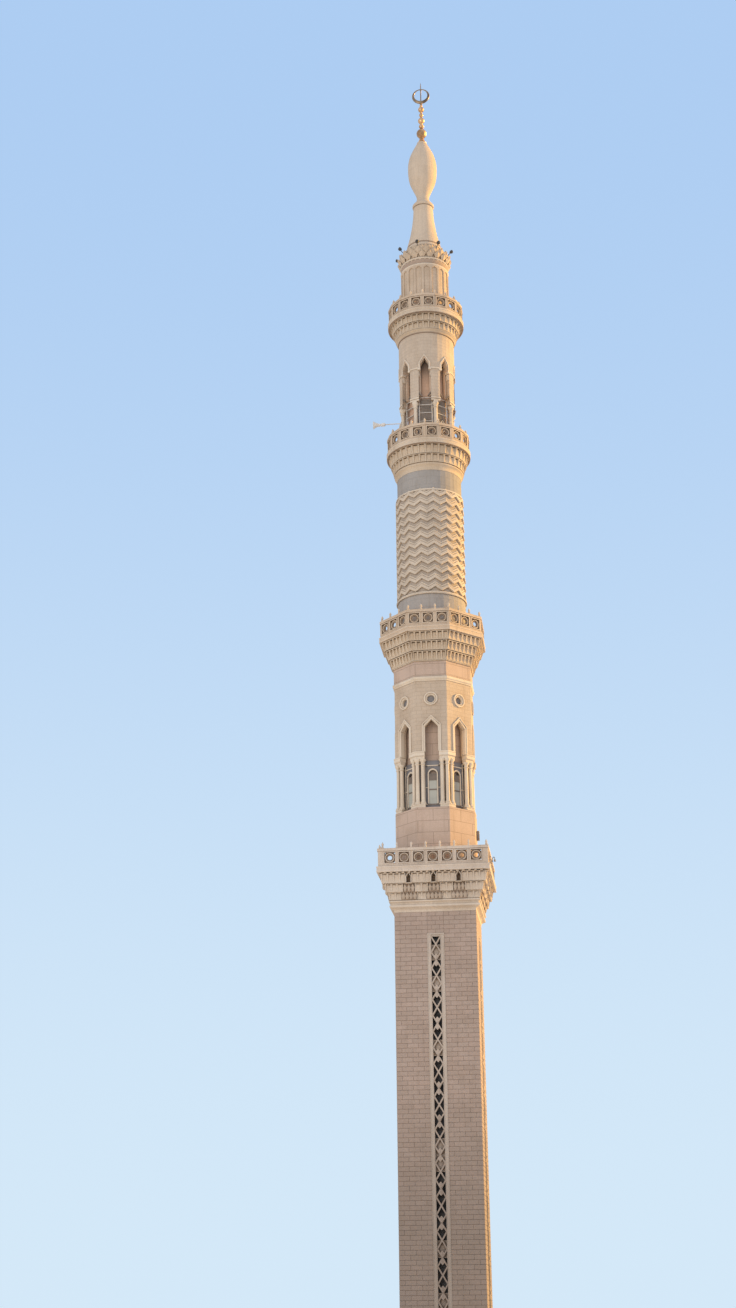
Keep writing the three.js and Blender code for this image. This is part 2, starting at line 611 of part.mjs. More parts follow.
// Beads of the finial, [height of centre, radius] in real metres
const BEADS = [[98.55, 0.46], [99.35, 0.29], [99.95, 0.33], [100.55, 0.24], [101.15, 0.27]];
const CRESCENT = { centre: 102.52 * M, radius: 0.77 * M, rise: 0.13 * M, inner: 0.61 * M, thick: 0.12 * M };
const stemRadius = 0.12 * M;
const stemTop = CRESCENT.centre - CRESCENT.radius - GAP;
const stem = [[0, LEVEL.finial], [0.45 * M, LEVEL.finial], [0.38 * M, 97.7 * M], [0.22 * M, 98.05 * M]];
for (const [height, radius] of BEADS) {
  for (const [across, up] of [[0.7, -0.7], [1, 0], [0.7, 0.7]]) {
    stem.push([across * radius * M, (height + up * radius) * M]);
  }
  stem.push([stemRadius * 0.9, (height + radius + 0.04) * M]);
}
stem.push([stemRadius * 0.7, stemTop], [0, stemTop]);
addPiece('finial_stem', solidOf(turned(stem, 10)), gilt);

const crescent = new THREE.Shape();
const inner = CRESCENT.centre + CRESCENT.rise;
const hornAngle = THREE.MathUtils.degToRad(76);
crescent.absarc(0, CRESCENT.centre, CRESCENT.radius, hornAngle, Math.PI - hornAngle, true);
crescent.absarc(0, inner, CRESCENT.inner, Math.PI - hornAngle, hornAngle, false);
const mast = turned([
  [0, CRESCENT.centre - CRESCENT.radius + 0.05 * M], [0.045 * M, CRESCENT.centre - CRESCENT.radius + 0.05 * M],
  [0.035 * M, 103.4 * M], [0.02 * M, LEVEL.tip], [0, LEVEL.tip],
], 6);
addPiece('finial_crescent', solidOf(
  elevation(crescent, -CRESCENT.thick / 2, CRESCENT.thick / 2),
).add(solidOf(mast)), gilt);

// Horn loudspeaker on an arm from a lantern column, out over the balustrade on the left
const REACH = 4.4 * M;
const HORN = { height: 70.1 * M, mouth: 0.33 * M, throat: 0.07 * M, length: 0.66 * M, arm: 0.045 * M };
const [hornX, hornY] = outwards(-67.5, LANTERN_COLUMN.distance);
const armStart = hornX - LANTERN_COLUMN.radius - GAP;
const horn = turned([
  [0, 0], [HORN.arm, 0], [HORN.arm, REACH + armStart - HORN.length],
  [HORN.throat, REACH + armStart - HORN.length], [0.4 * HORN.mouth, REACH + armStart - 0.4 * HORN.length],
  [HORN.mouth, REACH + armStart - 0.04 * M], [HORN.mouth, REACH + armStart], [0, REACH + armStart],
], 12);
addPiece('horn_speaker', solidOf(
  horn.rotateY(-Math.PI / 2).translate(armStart, hornY, HORN.height),
), whitePaint);

// Swan-neck lamp on the outside of the square balcony's right side
const LAMP = {
  foot: 33.3 * M, radius: 0.035 * M, rise: 0.45 * M, headRadius: 0.09 * M, headHeight: 0.2 * M,
  plate: 0.03 * M, plateHalf: 0.07 * M,
};
const lampFace = SQUARE_PARAPET + PARAPET.railProud;
const lampRoute = new THREE.CatmullRomCurve3([
  new THREE.Vector3(lampFace + LAMP.plate + 0.01 * M, 0, LAMP.foot + 0.3 * M),
  new THREE.Vector3(lampFace + LAMP.plate + 0.02 * M, 0, LAMP.foot + 0.42 * M),
  new THREE.Vector3(lampFace + 0.12 * M, 0, LAMP.foot + LAMP.rise + 0.1 * M),
  new THREE.Vector3(REACH - LAMP.headRadius - 0.03 * M, 0, LAMP.foot + LAMP.rise + 0.06 * M),
  new THREE.Vector3(REACH - LAMP.headRadius, 0, LAMP.foot + LAMP.rise - 0.16 * M),
]);
const lampSection = new THREE.Shape().absarc(0, 0, LAMP.radius, 0, 2 * Math.PI, false);
const lampNeck = new THREE.ExtrudeGeometry(lampSection, {
  steps: 10, extrudePath: lampRoute, curveSegments: 3, bevelEnabled: false,
});
const lampTop = LAMP.foot + LAMP.rise - 0.12 * M;
const lampHead = turned([
  [0, lampTop - LAMP.headHeight], [LAMP.headRadius, lampTop - LAMP.headHeight],
  [0.5 * LAMP.headRadius, lampTop], [0, lampTop],
], 8).translate(REACH - LAMP.headRadius, 0, 0);
const lampPlate = block(
  lampFace, lampFace + LAMP.plate, -LAMP.plateHalf, LAMP.plateHalf,
  LEVEL.squareFloor + PARAPET.railLow + 0.03 * M, LEVEL.squareFloor + PARAPET.top - 0.03 * M,
);
addPiece('balcony_lamp', joined([lampNeck, lampHead, lampPlate].map(solidOf)), greyPaint);

// Small loudspeaker box on the right face of the octagonal plinth
const BOX = { y0: 0.15 * M, wide: 0.32 * M, deep: 0.22 * M, low: 35.25 * M, high: 35.95 * M };
addPiece('plinth_speaker', solidOf(block(
  PLINTH.outer, PLINTH.outer + BOX.deep, BOX.y0, BOX.y0 + BOX.wide, BOX.low, BOX.high,
)), greyPaint);

export default tower;
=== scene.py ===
"""Stone minaret at one tenth of full size, dressed in stone, metal and paint."""
import math

import bmesh
import bpy
from mathutils import Matrix, Vector


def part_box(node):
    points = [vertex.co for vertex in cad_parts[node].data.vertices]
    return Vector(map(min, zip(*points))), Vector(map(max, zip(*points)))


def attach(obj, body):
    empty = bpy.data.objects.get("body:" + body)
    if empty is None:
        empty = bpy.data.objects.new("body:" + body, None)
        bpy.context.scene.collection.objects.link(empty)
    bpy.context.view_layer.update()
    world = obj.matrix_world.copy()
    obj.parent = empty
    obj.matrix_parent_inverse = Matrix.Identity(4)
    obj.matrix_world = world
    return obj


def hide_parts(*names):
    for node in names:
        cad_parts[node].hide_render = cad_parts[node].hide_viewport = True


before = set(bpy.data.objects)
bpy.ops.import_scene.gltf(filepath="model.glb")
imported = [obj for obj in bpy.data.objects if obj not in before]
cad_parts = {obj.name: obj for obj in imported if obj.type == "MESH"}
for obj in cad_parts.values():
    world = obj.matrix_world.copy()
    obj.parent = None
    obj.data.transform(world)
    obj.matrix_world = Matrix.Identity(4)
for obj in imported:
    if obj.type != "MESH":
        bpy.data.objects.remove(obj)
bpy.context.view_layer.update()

# One metre of the real tower in this model. Profiles, blocks, bevels and places below are in real metres.
M = 0.1
FULL_TURN = 2 * math.pi
TINY = 1e-5
ROUND_STEPS = 72

SIDES = ("front", "right", "back", "left")
OCTAGON_SIDES = 8
ROUND_BAYS = 18


# Modelling by hand: what the maker does again and again

def only(piece):
    bpy.ops.object.select_all(action="DESELECT")
    piece.select_set(True)
    bpy.context.view_layer.objects.active = piece


def edit(piece):
    """Opens a piece in edit mode, all of it selected."""
    only(piece)
    bpy.ops.object.mode_set(mode="EDIT")
    pick_all("VERT")


def leave():
    bpy.ops.object.mode_set(mode="OBJECT")
    return bpy.context.object


def pick_all(kind):
    bpy.ops.mesh.select_mode(type=kind)
    bpy.ops.mesh.select_all(action="SELECT")


def pick(kind, test):
    """In edit mode, selects only the parts whose middle, and normal or direction, pass the test."""
    bpy.ops.mesh.select_mode(type=kind)
    bpy.ops.mesh.select_all(action="DESELECT")
    mesh = bmesh.from_edit_mesh(bpy.context.object.data)
    if kind == "VERT":
        chosen = [v for v in mesh.verts if test(v.co, v.normal)]
    elif kind == "EDGE":
        ends = [(e, (e.verts[0].co + e.verts[1].co) / 2, e.verts[1].co - e.verts[0].co) for e in mesh.edges]
        chosen = [e for e, middle, along in ends if test(middle, along)]
    else:
        chosen = [f for f in mesh.faces if test(f.calc_center_median(), f.normal)]
    for part in chosen:
        part.select_set(True)
    mesh.select_flush_mode()
    bmesh.update_edit_mesh(bpy.context.object.data)
    return len(chosen)


def pick_open_edges():
    bpy.ops.mesh.select_mode(type="EDGE")
    bpy.ops.mesh.select_all(action="DESELECT")
    bpy.ops.mesh.select_non_manifold(extend=False, use_wire=False, use_multi_face=False,
                                     use_non_contiguous=False, use_verts=False)


def move(x=0.0, y=0.0, z=0.0):
    bpy.ops.transform.translate(value=(x, y, z))


def stretch(x=1.0, y=1.0, z=1.0, about=(0, 0, 0)):
    bpy.ops.transform.resize(value=(x, y, z), center_override=about)


def pull(x=0.0, y=0.0, z=0.0):
    bpy.ops.mesh.extrude_region_move(TRANSFORM_OT_translate={"value": (x, y, z)})


def inset(thickness, depth=0.0, each=False):
    bpy.ops.mesh.inset(thickness=thickness, depth=depth, use_individual=each)


def outward_faces():
    bpy.ops.mesh.select_all(action="SELECT")
    bpy.ops.mesh.remove_doubles(threshold=TINY)
    bpy.ops.mesh.normals_make_consistent(inside=False)


def added(primitive, **settings):
    """A new basic form, with its place and scale applied."""
    primitive(**settings)
    bpy.ops.object.transform_apply(location=True, rotation=True, scale=True)
    return bpy.context.object


def in_model(points):
    """Real metres as model metres."""
    return [tuple(value * M for value in point) for point in points]


def draw_line(points):
    """A new object in edit mode: a chain of edges through the points, in model metres."""
    edit(added(bpy.ops.mesh.primitive_plane_add, size=1))
    bpy.ops.mesh.merge(type="CENTER")
    move(*points[0])
    for start, end in zip(points, points[1:]):
        pull(*(Vector(end) - Vector(start)))
    bpy.ops.mesh.select_all(action="SELECT")


def spun(points, sides, axis=(0, 0, 1), centre=(0, 0, 0)):
    """A turned body: the chain of points, in model metres, taken round the axis."""
    draw_line(points)
    bpy.ops.mesh.spin(steps=sides, angle=FULL_TURN, center=centre, axis=axis)
    outward_faces()
    return leave()


def turned(profile, sides, flats=False):
    """A body turned about the tower's axis. With flats, the profile gives half-widths across them."""
    start = math.pi / sides if flats else 0.0
    reach = 1 / math.cos(math.pi / sides) if flats else 1.0
    return spun([
        (radius * reach * math.sin(start), -radius * reach * math.cos(start), height)
        for radius, height in in_model(profile)
    ], sides)


def turned_to_front(section, sides):
    """A ring or disc that faces the front: the section gives radius and depth."""
    return spun([(radius * M, depth * M, 0) for radius, depth in section], sides, axis=(0, 1, 0))


def block_between(low, high):
    """A box between two corners, in model metres."""
    middle = [(a + b) / 2 for a, b in zip(low, high)]
    return added(bpy.ops.mesh.primitive_cube_add, size=1, location=middle,
                 scale=[b - a for a, b in zip(low, high)])


def block(x0, x1, y0, y1, z0, z1):
    return block_between(*in_model([(x0, y0, z0), (x1, y1, z1)]))


def upright_face(x0, x1, z0, z1, y=0.0):
    """A single face that looks to the front, in edit mode, in model metres."""
    middle = ((x0 + x1) / 2, y, (z0 + z1) / 2)
    edit(added(bpy.ops.mesh.primitive_plane_add, size=1, location=middle, rotation=(math.pi / 2, 0, 0)))
    stretch(x1 - x0, 1, z1 - z0, about=middle)


def arch_body(width, low, spring, apex, depth, y=0.0, steps=1):
    """A flat body with a pointed arch for its top, drawn from y towards the viewer by the depth."""
    width, low, spring, apex, y = (value * M for value in (width, low, spring, apex, y))
    half = width / 2
    upright_face(-half, half, low, spring, y)
    pick("EDGE", lambda place, along: place.z > spring - TINY)
    bpy.ops.mesh.subdivide(number_cuts=2 * steps - 1)
    rise = apex - spring
    offset = (rise * rise - half * half) / width
    radius = half + offset
    sweep = math.acos(max(-1.0, min(1.0, offset / radius)))
    for i in range(1, 2 * steps):
        x = -half + width * i / (2 * steps)
        angle = sweep * (1 - abs(i - steps) / steps)
        side = (i > steps) - (i < steps)
        pick("VERT", lambda place, normal: abs(place.x - x) < TINY and place.z > spring - TINY)
        move(side * (radius * math.cos(angle) - offset) - x, 0, radius * math.sin(angle))
    bpy.ops.mesh.select_all(action="SELECT")
    pull(y=-depth * M)
    outward_faces()
    return leave()


def shaped(piece, kind, **settings):
    """Adds one modifier to the piece and applies it."""
    only(piece)
    step = piece.modifiers.new(kind.lower(), kind)
    for key, value in settings.items():
        setattr(step, key, value)
    bpy.ops.object.modifier_apply(modifier=step.name)
    return piece


def carve(piece, tool):
    """Takes the tool's body out of the piece."""
    shaped(piece, "BOOLEAN", operation="DIFFERENCE", solver="EXACT", object=tool)
    bpy.data.objects.remove(tool)
    return piece


def soften(piece, width, segments=1):
    """A small bevel along the sharp edges."""
    return shaped(piece, "BEVEL", width=width * M, segments=segments, limit_method="ANGLE",
                  angle_limit=math.radians(35))


def round_shading(piece, angle=35):
    only(piece)
    bpy.ops.object.shade_smooth_by_angle(angle=math.radians(angle))
    return piece


def joined(pieces):
    bpy.ops.object.select_all(action="DESELECT")
    for piece in pieces:
        piece.select_set(True)
    bpy.context.view_layer.objects.active = pieces[0]
    if len(pieces) > 1:
        bpy.ops.object.join()
    return bpy.context.object


def moved(piece, place):
    piece.data.transform(place)
    return piece


def copied(piece, place):
    """A copy with a mesh of its own, taken to the place."""
    copy = piece.copy()
    copy.data = piece.data.copy()
    bpy.context.scene.collection.objects.link(copy)
    return moved(copy, place)


def repeated(piece, places):
    """The piece copied to each place, and the copies joined."""
    copies = [copied(piece, place) for place in places]
    bpy.data.objects.remove(piece)
    return joined(copies)


def at(x=0.0, y=0.0, z=0.0):
    return Matrix.Translation((x * M, y * M, z * M))


def about_axis(degrees):
    return Matrix.Rotation(math.radians(degrees), 4, "Z")


def lean(degrees):
    """A turn that tips the head of a piece at the front towards the viewer."""
    return Matrix.Rotation(math.radians(degrees), 4, "X")


def swing(degrees):
    """A turn in the plane of the front face."""
    return Matrix.Rotation(math.radians(degrees), 4, "Y")


def level_places(count, outer=0.0, level=0.0, offsets=(0.0,), first=0.0, back=0.0):
    """Places on the outer face of each of a stage's sides, at the offsets along it."""
    return [
        about_axis(first + 360 * i / count) @ at(offset, back - outer, level)
        for i in range(count) for offset in offsets
    ]


def all_round(piece, count=OCTAGON_SIDES, first=0.0):
    """The piece at the front copied round the tower's axis."""
    return repeated(piece, level_places(count, first=first))


def leaning(piece, degrees, places):
    return repeated(piece, [place @ lean(degrees) for place in places])


def evenly(step, count):
    """Offsets with an even step, about the middle."""
    return [step * (i - (count - 1) / 2) for i in range(count)]


def wrap(piece, radius):
    """Lays a flat piece at the front round the tower: its sides fall back with the wall's curve."""
    reach = radius * M
    for vertex in piece.data.vertices:
        vertex.co.y += reach - math.sqrt(max(reach * reach - vertex.co.x * vertex.co.x, 0.0))
    return piece


def standing(piece, name, material, slot, *nodes):
    """Names a finished piece, gives it its finish and seats it on the tower."""
    piece.name = name
    piece.data.name = name
    piece.data.materials.clear()
    piece.data.materials.append(material)
    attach(piece, "root")
    if nodes:
        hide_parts(*nodes)


# Shared effects, each a node group with its own inputs

SOCKETS = {"Colour": "NodeSocketColor", "Place": "NodeSocketVector"}
PLAIN_STONE = (0.7, 0.6, 0.5, 1)


def effect(name, inputs, outputs):
    """An empty node group. Sockets named Colour or Place are of that kind, the others are numbers."""
    tree = bpy.data.node_groups.new(name, "ShaderNodeTree")
    for label, value in inputs.items():
        kind = SOCKETS.get(label, "NodeSocketFloat")
        tree.interface.new_socket(label, in_out="INPUT", socket_type=kind).default_value = value
    for label in outputs:
        tree.interface.new_socket(label, in_out="OUTPUT", socket_type=SOCKETS.get(label, "NodeSocketFloat"))
    return tree, tree.nodes.new("NodeGroupInput").outputs, tree.nodes.new("NodeGroupOutput")


def feed(tree, node, links):
    """Links or sets a node's inputs, by name or number."""
    for label, value in links.items():
        if isinstance(value, bpy.types.NodeSocket):
            tree.links.new(value, node.inputs[label])
        else:
            node.inputs[label].default_value = value
    return node


def add(tree, kind, links=None, **settings):
    """One node, with its settings and with what feeds its inputs."""
    node = tree.nodes.new("ShaderNode" + kind)
    for key, value in settings.items():
        setattr(node, key, value)
    return feed(tree, node, links or {})


def use(tree, group, links):
    return add(tree, "Group", links, node_tree=group).outputs


def math_node(tree, operation, *values):
    return add(tree, "Math", dict(enumerate(values)), operation=operation).outputs[0]


def times(tree, first, second):
    return math_node(tree, "MULTIPLY", first, second)


def mix_colours(tree, blend, factor, first, second):
    links = {0: factor, 6: first, 7: second}
    return add(tree, "Mix", links, data_type="RGBA", blend_type=blend).outputs[2]


def ramp(tree, value, low, high, start=0.0, end=1.0):
    links = {"Value": value, "From Min": low, "From Max": high, "To Min": start, "To Max": end}
    return add(tree, "MapRange", links, interpolation_type="SMOOTHSTEP").outputs[0]


def on_part(tree):
    return add(tree, "TexCoord").outputs["Object"]


def noise(tree, place, scale, detail):
    return add(tree, "TexNoise", {"Vector": place, "Scale": scale, "Detail": detail}).outputs[0]


def upward_part(tree, vector):
    return add(tree, "SeparateXYZ", {0: vector}).outputs[2]


def bumps(tree, height, strength, distance):
    return add(tree, "Bump", {"Height": height, "Strength": strength, "Distance": distance}).outputs[0]


def stone_grain():
    """Clouds of tone and fine pits, as in cast and cut stone."""
    tree, given, result = effect("stone grain", {"Colour": PLAIN_STONE, "Clouds": 0.2, "Speckle": 0.15},
                                 ("Colour", "Height"))
    place = on_part(tree)
    clouds = noise(tree, place, 6.0, 5.0)
    specks = noise(tree, place, 160.0, 3.0)
    shade = ramp(tree, clouds, 0.68, 0.32)
    darker = mix_colours(tree, "MULTIPLY", shade, given["Colour"], (0.72, 0.68, 0.63, 1))
    clouded = mix_colours(tree, "MIX", given["Clouds"], given["Colour"], darker)
    specked = mix_colours(tree, "MULTIPLY", ramp(tree, specks, 0.62, 0.4), clouded, (0.7, 0.66, 0.6, 1))
    feed(tree, result, {
        "Colour": mix_colours(tree, "MIX", given["Speckle"], clouded, specked),
        "Height": math_node(tree, "ADD", times(tree, clouds, 0.4), specks),
    })
    return tree


def courses_round():
    """Where a point lies on the unrolled wall of a round or eight-sided stage."""
    tree, given, result = effect("round the stage", {"Radius": 0.25}, ("Place",))
    split = add(tree, "SeparateXYZ", {0: on_part(tree)})
    angle = math_node(tree, "ARCTAN2", split.outputs[0], times(tree, split.outputs[1], -1.0))
    along = times(tree, angle, given["Radius"])
    feed(tree, result, {"Place": add(tree, "CombineXYZ", {0: along, 1: split.outputs[2], 2: 0.0}).outputs[0]})
    return tree


def block_joints():
    """Courses of cut blocks: each block a little lighter or darker, and the joints between them."""
    tree, given, result = effect("block joints", {
        "Colour": PLAIN_STONE, "Place": (0, 0, 0), "Length": 0.08, "Course": 0.033, "Joint": 0.0015,
        "Contrast": 0.15, "Mortar": 0.5,
    }, ("Colour", "Joint"))
    bricks = add(tree, "TexBrick", {
        "Vector": given["Place"], "Color1": (1, 1, 1, 1), "Color2": (0.62, 0.6, 0.58, 1),
        "Mortar": (1, 1, 1, 1), "Scale": 1.0, "Mortar Size": given["Joint"], "Mortar Smooth": 0.3,
        "Brick Width": given["Length"], "Row Height": given["Course"],
    })
    joint = bricks.outputs["Fac"]
    toned = mix_colours(tree, "MULTIPLY", given["Contrast"], given["Colour"], bricks.outputs["Color"])
    dark = mix_colours(tree, "MULTIPLY", times(tree, joint, given["Mortar"]), toned, (0.42, 0.35, 0.3, 1))
    feed(tree, result, {"Colour": dark, "Joint": joint})
    return tree


def ageing_and_shade():
    """Rain streaks down the walls, dust on what faces up, painted shade in the corners and hollows, worn pale
    edges.
    """
    tree, given, result = effect("ageing_and_shade", {
        "Colour": PLAIN_STONE, "Streaks": 0.2, "Dust": 0.4, "Painted shade": 0.6, "Wear": 0.3, "Reach": 0.02,
    }, ("Colour", "Painted shade"))
    drawn_out = add(tree, "Mapping", {"Vector": on_part(tree), "Scale": (30.0, 30.0, 2.2)}).outputs[0]
    streaks = times(tree, ramp(tree, noise(tree, drawn_out, 1.0, 4.0), 0.5, 0.72), given["Streaks"])
    streaked = mix_colours(tree, "MULTIPLY", streaks, given["Colour"], (0.55, 0.48, 0.42, 1))
    surface = add(tree, "NewGeometry").outputs
    dust = times(tree, ramp(tree, upward_part(tree, surface["Normal"]), 0.35, 0.95), given["Dust"])
    dusty = mix_colours(tree, "MIX", dust, streaked, (0.62, 0.52, 0.4, 1))
    # Painted shade: darker where ambient occlusion finds the surface hidden, in corners, creases and
    # recesses.
    hidden = add(tree, "AmbientOcclusion", {"Distance": given["Reach"]}, samples=8)
    painted_shade = times(tree, ramp(tree, hidden.outputs["AO"], 0.92, 0.3), given["Painted shade"])
    in_painted_shade = mix_colours(tree, "MULTIPLY", painted_shade, dusty, (0.36, 0.27, 0.2, 1))
    worn = times(tree, ramp(tree, surface["Pointiness"], 0.52, 0.62), given["Wear"])
    lightened = mix_colours(tree, "SCREEN", worn, in_painted_shade, (0.32, 0.29, 0.24, 1))
    feed(tree, result, {"Colour": lightened, "Painted shade": painted_shade})
    return tree


def tone_by_block():
    """Each separate block a little lighter, darker or redder than the next."""
    tree, given, result = effect("tone by block", {"Colour": PLAIN_STONE, "Spread": 0.5}, ("Colour",))
    chance = add(tree, "NewGeometry").outputs["Random Per Island"]
    darker = mix_colours(tree, "MULTIPLY", chance, given["Colour"], (0.66, 0.6, 0.56, 1))
    again = math_node(tree, "FRACT", times(tree, chance, 17.0))
    redder = mix_colours(tree, "MULTIPLY", again, darker, (1.0, 0.88, 0.82, 1))
    feed(tree, result, {"Colour": mix_colours(tree, "MIX", given["Spread"], given["Colour"], redder)})
    return tree


GRAIN = stone_grain()
BLOCK_TONES = tone_by_block()
ROUND_COURSES = courses_round()
JOINTS = block_joints()
AGEING_AND_SHADE = ageing_and_shade()

# Painted shade by height: where it starts and ends, in model metres, and its tint.
# The first is the shade of the surroundings on the shaft's foot, the second the shade under the lantern's
# vault.
FOOT_SHADE = (2.05, 0.6, (0.45, 0.43, 0.435, 1))
VAULT_SHADE = (7.3, 7.52, (0.1, 0.08, 0.07, 1))


def blank(name):
    material = bpy.data.materials.new(name)
    material.use_nodes = True
    return material, material.node_tree, material.node_tree.nodes["Principled BSDF"]


def stone(name, colour, clouds=0.5, speckle=0.35, streaks=0.25, painted_shade=0.7, wear=0.35, reach=0.02, blocks=None,
          contrast=0.25, mortar=0.7, joint=0.0014, rough=0.82, relief=0.25, spread=0.0, shade=None):
    """Cut or cast stone. Blocks: the wall's radius, the length and the course of its ashlar, in model metres.

    Shade: one of the painted shades by height, and its strength."""
    material, tree, shader = blank(name)
    grain = use(tree, GRAIN, {"Colour": (*colour, 1), "Clouds": clouds, "Speckle": speckle})
    tint, height = grain["Colour"], grain["Height"]
    if blocks:
        radius, length, course = blocks
        cut = use(tree, JOINTS, {
            "Colour": tint, "Place": use(tree, ROUND_COURSES, {"Radius": radius})["Place"], "Length": length,
            "Course": course, "Joint": joint, "Contrast": contrast, "Mortar": mortar,
        })
        tint = cut["Colour"]
        height = math_node(tree, "SUBTRACT", height, times(tree, cut["Joint"], 3.0))
    if spread:
        tint = use(tree, BLOCK_TONES, {"Colour": tint, "Spread": spread})["Colour"]
    if shade:
        (start, end, dark), strength = shade
        level = ramp(tree, upward_part(tree, on_part(tree)), start, end, 0.0, strength)
        tint = mix_colours(tree, "MULTIPLY", level, tint, dark)
    aged = use(tree, AGEING_AND_SHADE, {
        "Colour": tint, "Streaks": streaks, "Dust": 0.3, "Painted shade": painted_shade, "Wear": wear, "Reach": reach,
    })
    feed(tree, shader, {
        "Base Color": aged["Colour"], "Roughness": ramp(tree, aged["Painted shade"], 0.0, 1.0, rough, 0.95),
        "Normal": bumps(tree, height, relief, 0.0012), "Specular IOR Level": 0.35,
    })
    return material


def metal(name, colour, dark, rough, metallic=1.0):
    """Metal or enamel that has stood outdoors: brighter and duller clouds, painted shade in its corners."""
    material, tree, shader = blank(name)
    place = on_part(tree)
    clouds = noise(tree, place, 14.0, 6.0)
    aged = use(tree, AGEING_AND_SHADE, {
        "Colour": mix_colours(tree, "MIX", ramp(tree, clouds, 0.42, 0.7), (*colour, 1), (*dark, 1)),
        "Streaks": 0.3, "Dust": 0.12, "Painted shade": 0.6, "Wear": 0.35, "Reach": 0.012,
    })
    feed(tree, shader, {
        "Base Color": aged["Colour"], "Roughness": ramp(tree, clouds, 0.3, 0.75, rough, rough + 0.22),
        "Metallic": metallic, "Normal": bumps(tree, noise(tree, place, 240.0, 2.0), 0.08, 0.0006),
    })
    return material


def lamp_glass():
    material, tree, shader = blank("lamp glass")
    ripples = noise(tree, on_part(tree), 180.0, 2.0)
    share = ramp(tree, ripples, 0.35, 0.7)
    tint = mix_colours(tree, "MIX", share, (0.16, 0.17, 0.18, 1), (0.3, 0.31, 0.31, 1))
    feed(tree, shader, {"Base Color": tint, "Normal": bumps(tree, ripples, 0.15, 0.0006), "Roughness": 0.12})
    return material


# The finishes, in the colours that the tower has in shade and low sun

IVORY = (0.63, 0.5, 0.36)
BALCONY_TONE = (0.65, 0.555, 0.45)
SMALL_ASHLAR = (0.06, 0.03)
NICHE_AGEING_AND_SHADE = {"painted_shade": 0.35, "reach": 0.014, "wear": 0.35, "streaks": 0.15}
CARVED_AGEING_AND_SHADE = {"reach": 0.014, "wear": 0.45, "streaks": 0.15}
INNER_WALL = {"painted_shade": 0.5, "streaks": 0.0, "wear": 0.2}
BAND_ASHLAR = {"blocks": (0.26, 0.12, 0.07), "mortar": 0.45, "contrast": 0.12, "streaks": 0.35}

WARM = stone("warm stone", IVORY)
CARVED = stone("carved stone", (0.66, 0.53, 0.38), painted_shade=0.85, **CARVED_AGEING_AND_SHADE)
SMOOTH = stone("smooth pale stone", (0.72, 0.62, 0.48), clouds=0.4, speckle=0.2, painted_shade=0.6, wear=0.3,
               rough=0.7)
ROUND_FASCIA = stone("round fascia stone", (0.67, 0.56, 0.42))
# Near-black stone for painted shade: the linings of the deep niches' pockets and the groove under the top
# drum's torus.
RECESS_SHADE = stone("painted recess shade", (0.25, 0.175, 0.115), painted_shade=0.6, streaks=0.0, wear=0.2)
# Dark stone for the plates in the parapets' bays: painted shade in the bays' corners.
PLATE_SHADE = stone("bay plate stone in painted shade", (0.27, 0.2, 0.14), **INNER_WALL)
# Brown stone for thin lines of painted shadow under mouldings.
SHADOW_LINE = stone("painted shadow line stone", (0.33, 0.23, 0.155), streaks=0.0, wear=0.2)
# Darker stone: the top drum band's own tone, and painted shade on the grounds behind the leaf clusters.
BAND_TONE_AND_SHADE = stone("band tone and painted recess shade", (0.43, 0.32, 0.235), painted_shade=0.7, streaks=0.0, wear=0.2)
NICHE_STONE = stone("niche stone", (0.62, 0.505, 0.365), **NICHE_AGEING_AND_SHADE)
BALCONY = stone("balcony stone", BALCONY_TONE)
BALCONY_CARVED = stone("carved balcony stone", BALCONY_TONE, painted_shade=0.8, **CARVED_AGEING_AND_SHADE)
BALCONY_NICHES = stone("balcony niche stone", (0.65, 0.56, 0.45), **NICHE_AGEING_AND_SHADE)
CLUSTER_LEAVES = stone("cluster leaf stone", (0.53, 0.44, 0.345), painted_shade=0.5, reach=0.012, wear=0.3,
                       streaks=0.1)
ZIGZAG = stone("zigzag stone", (0.65, 0.555, 0.43), painted_shade=0.8, reach=0.012, wear=0.4, streaks=0.1)
# Darker, greyer stone for the wall between the zigzag ribs: painted shade under the ribs.
ZIGZAG_SHADE_GROUND = stone("zigzag ground in painted shade", (0.46, 0.39, 0.31), painted_shade=0.6, wear=0.2, streaks=0.1)
# The stair head grows darker towards its top: painted shade under the lantern's vault.
STAIR_HEAD = stone("stair head stone", (0.57, 0.355, 0.225), painted_shade=0.5, streaks=0.0, spread=0.2,
                   shade=(VAULT_SHADE, 0.9), blocks=(0.16, *SMALL_ASHLAR), mortar=0.35, joint=0.001)
# Lighter than the walls: painted bounce light inside the lantern's arches.
REVEAL_BOUNCE_LIGHT = stone("reveal stone with painted bounce light", (0.8, 0.62, 0.45), painted_shade=0.4, streaks=0.0, spread=0.2,
               blocks=(0.2, *SMALL_ASHLAR), mortar=0.4, joint=0.001)
DRUM_BLOCKS = stone("drum ashlar", IVORY, blocks=(0.2, *SMALL_ASHLAR), mortar=0.3, contrast=0.12)
STAGE_BLOCKS = stone("stage ashlar", (0.575, 0.46, 0.335), blocks=(0.25, *SMALL_ASHLAR), mortar=0.4,
                     contrast=0.16)
GREY_BAND = stone("grey band stone", (0.36, 0.335, 0.305), **BAND_ASHLAR)
DEEP_GREY_BAND = stone("deep grey band stone", (0.3, 0.282, 0.258), **BAND_ASHLAR)
PINK_BLOCKS = stone("rose stone", (0.53, 0.385, 0.29), blocks=(0.3, 0.22, 0.088), mortar=0.8, contrast=0.12,
                    joint=0.002)
SPIRE = stone("spire gores", (0.66, 0.54, 0.4), streaks=0.12, clouds=0.3, painted_shade=0.6, rough=0.7, relief=0.3,
              blocks=(0.1, 0.0393, 0.35), mortar=0.16, contrast=0.0, joint=0.0012)
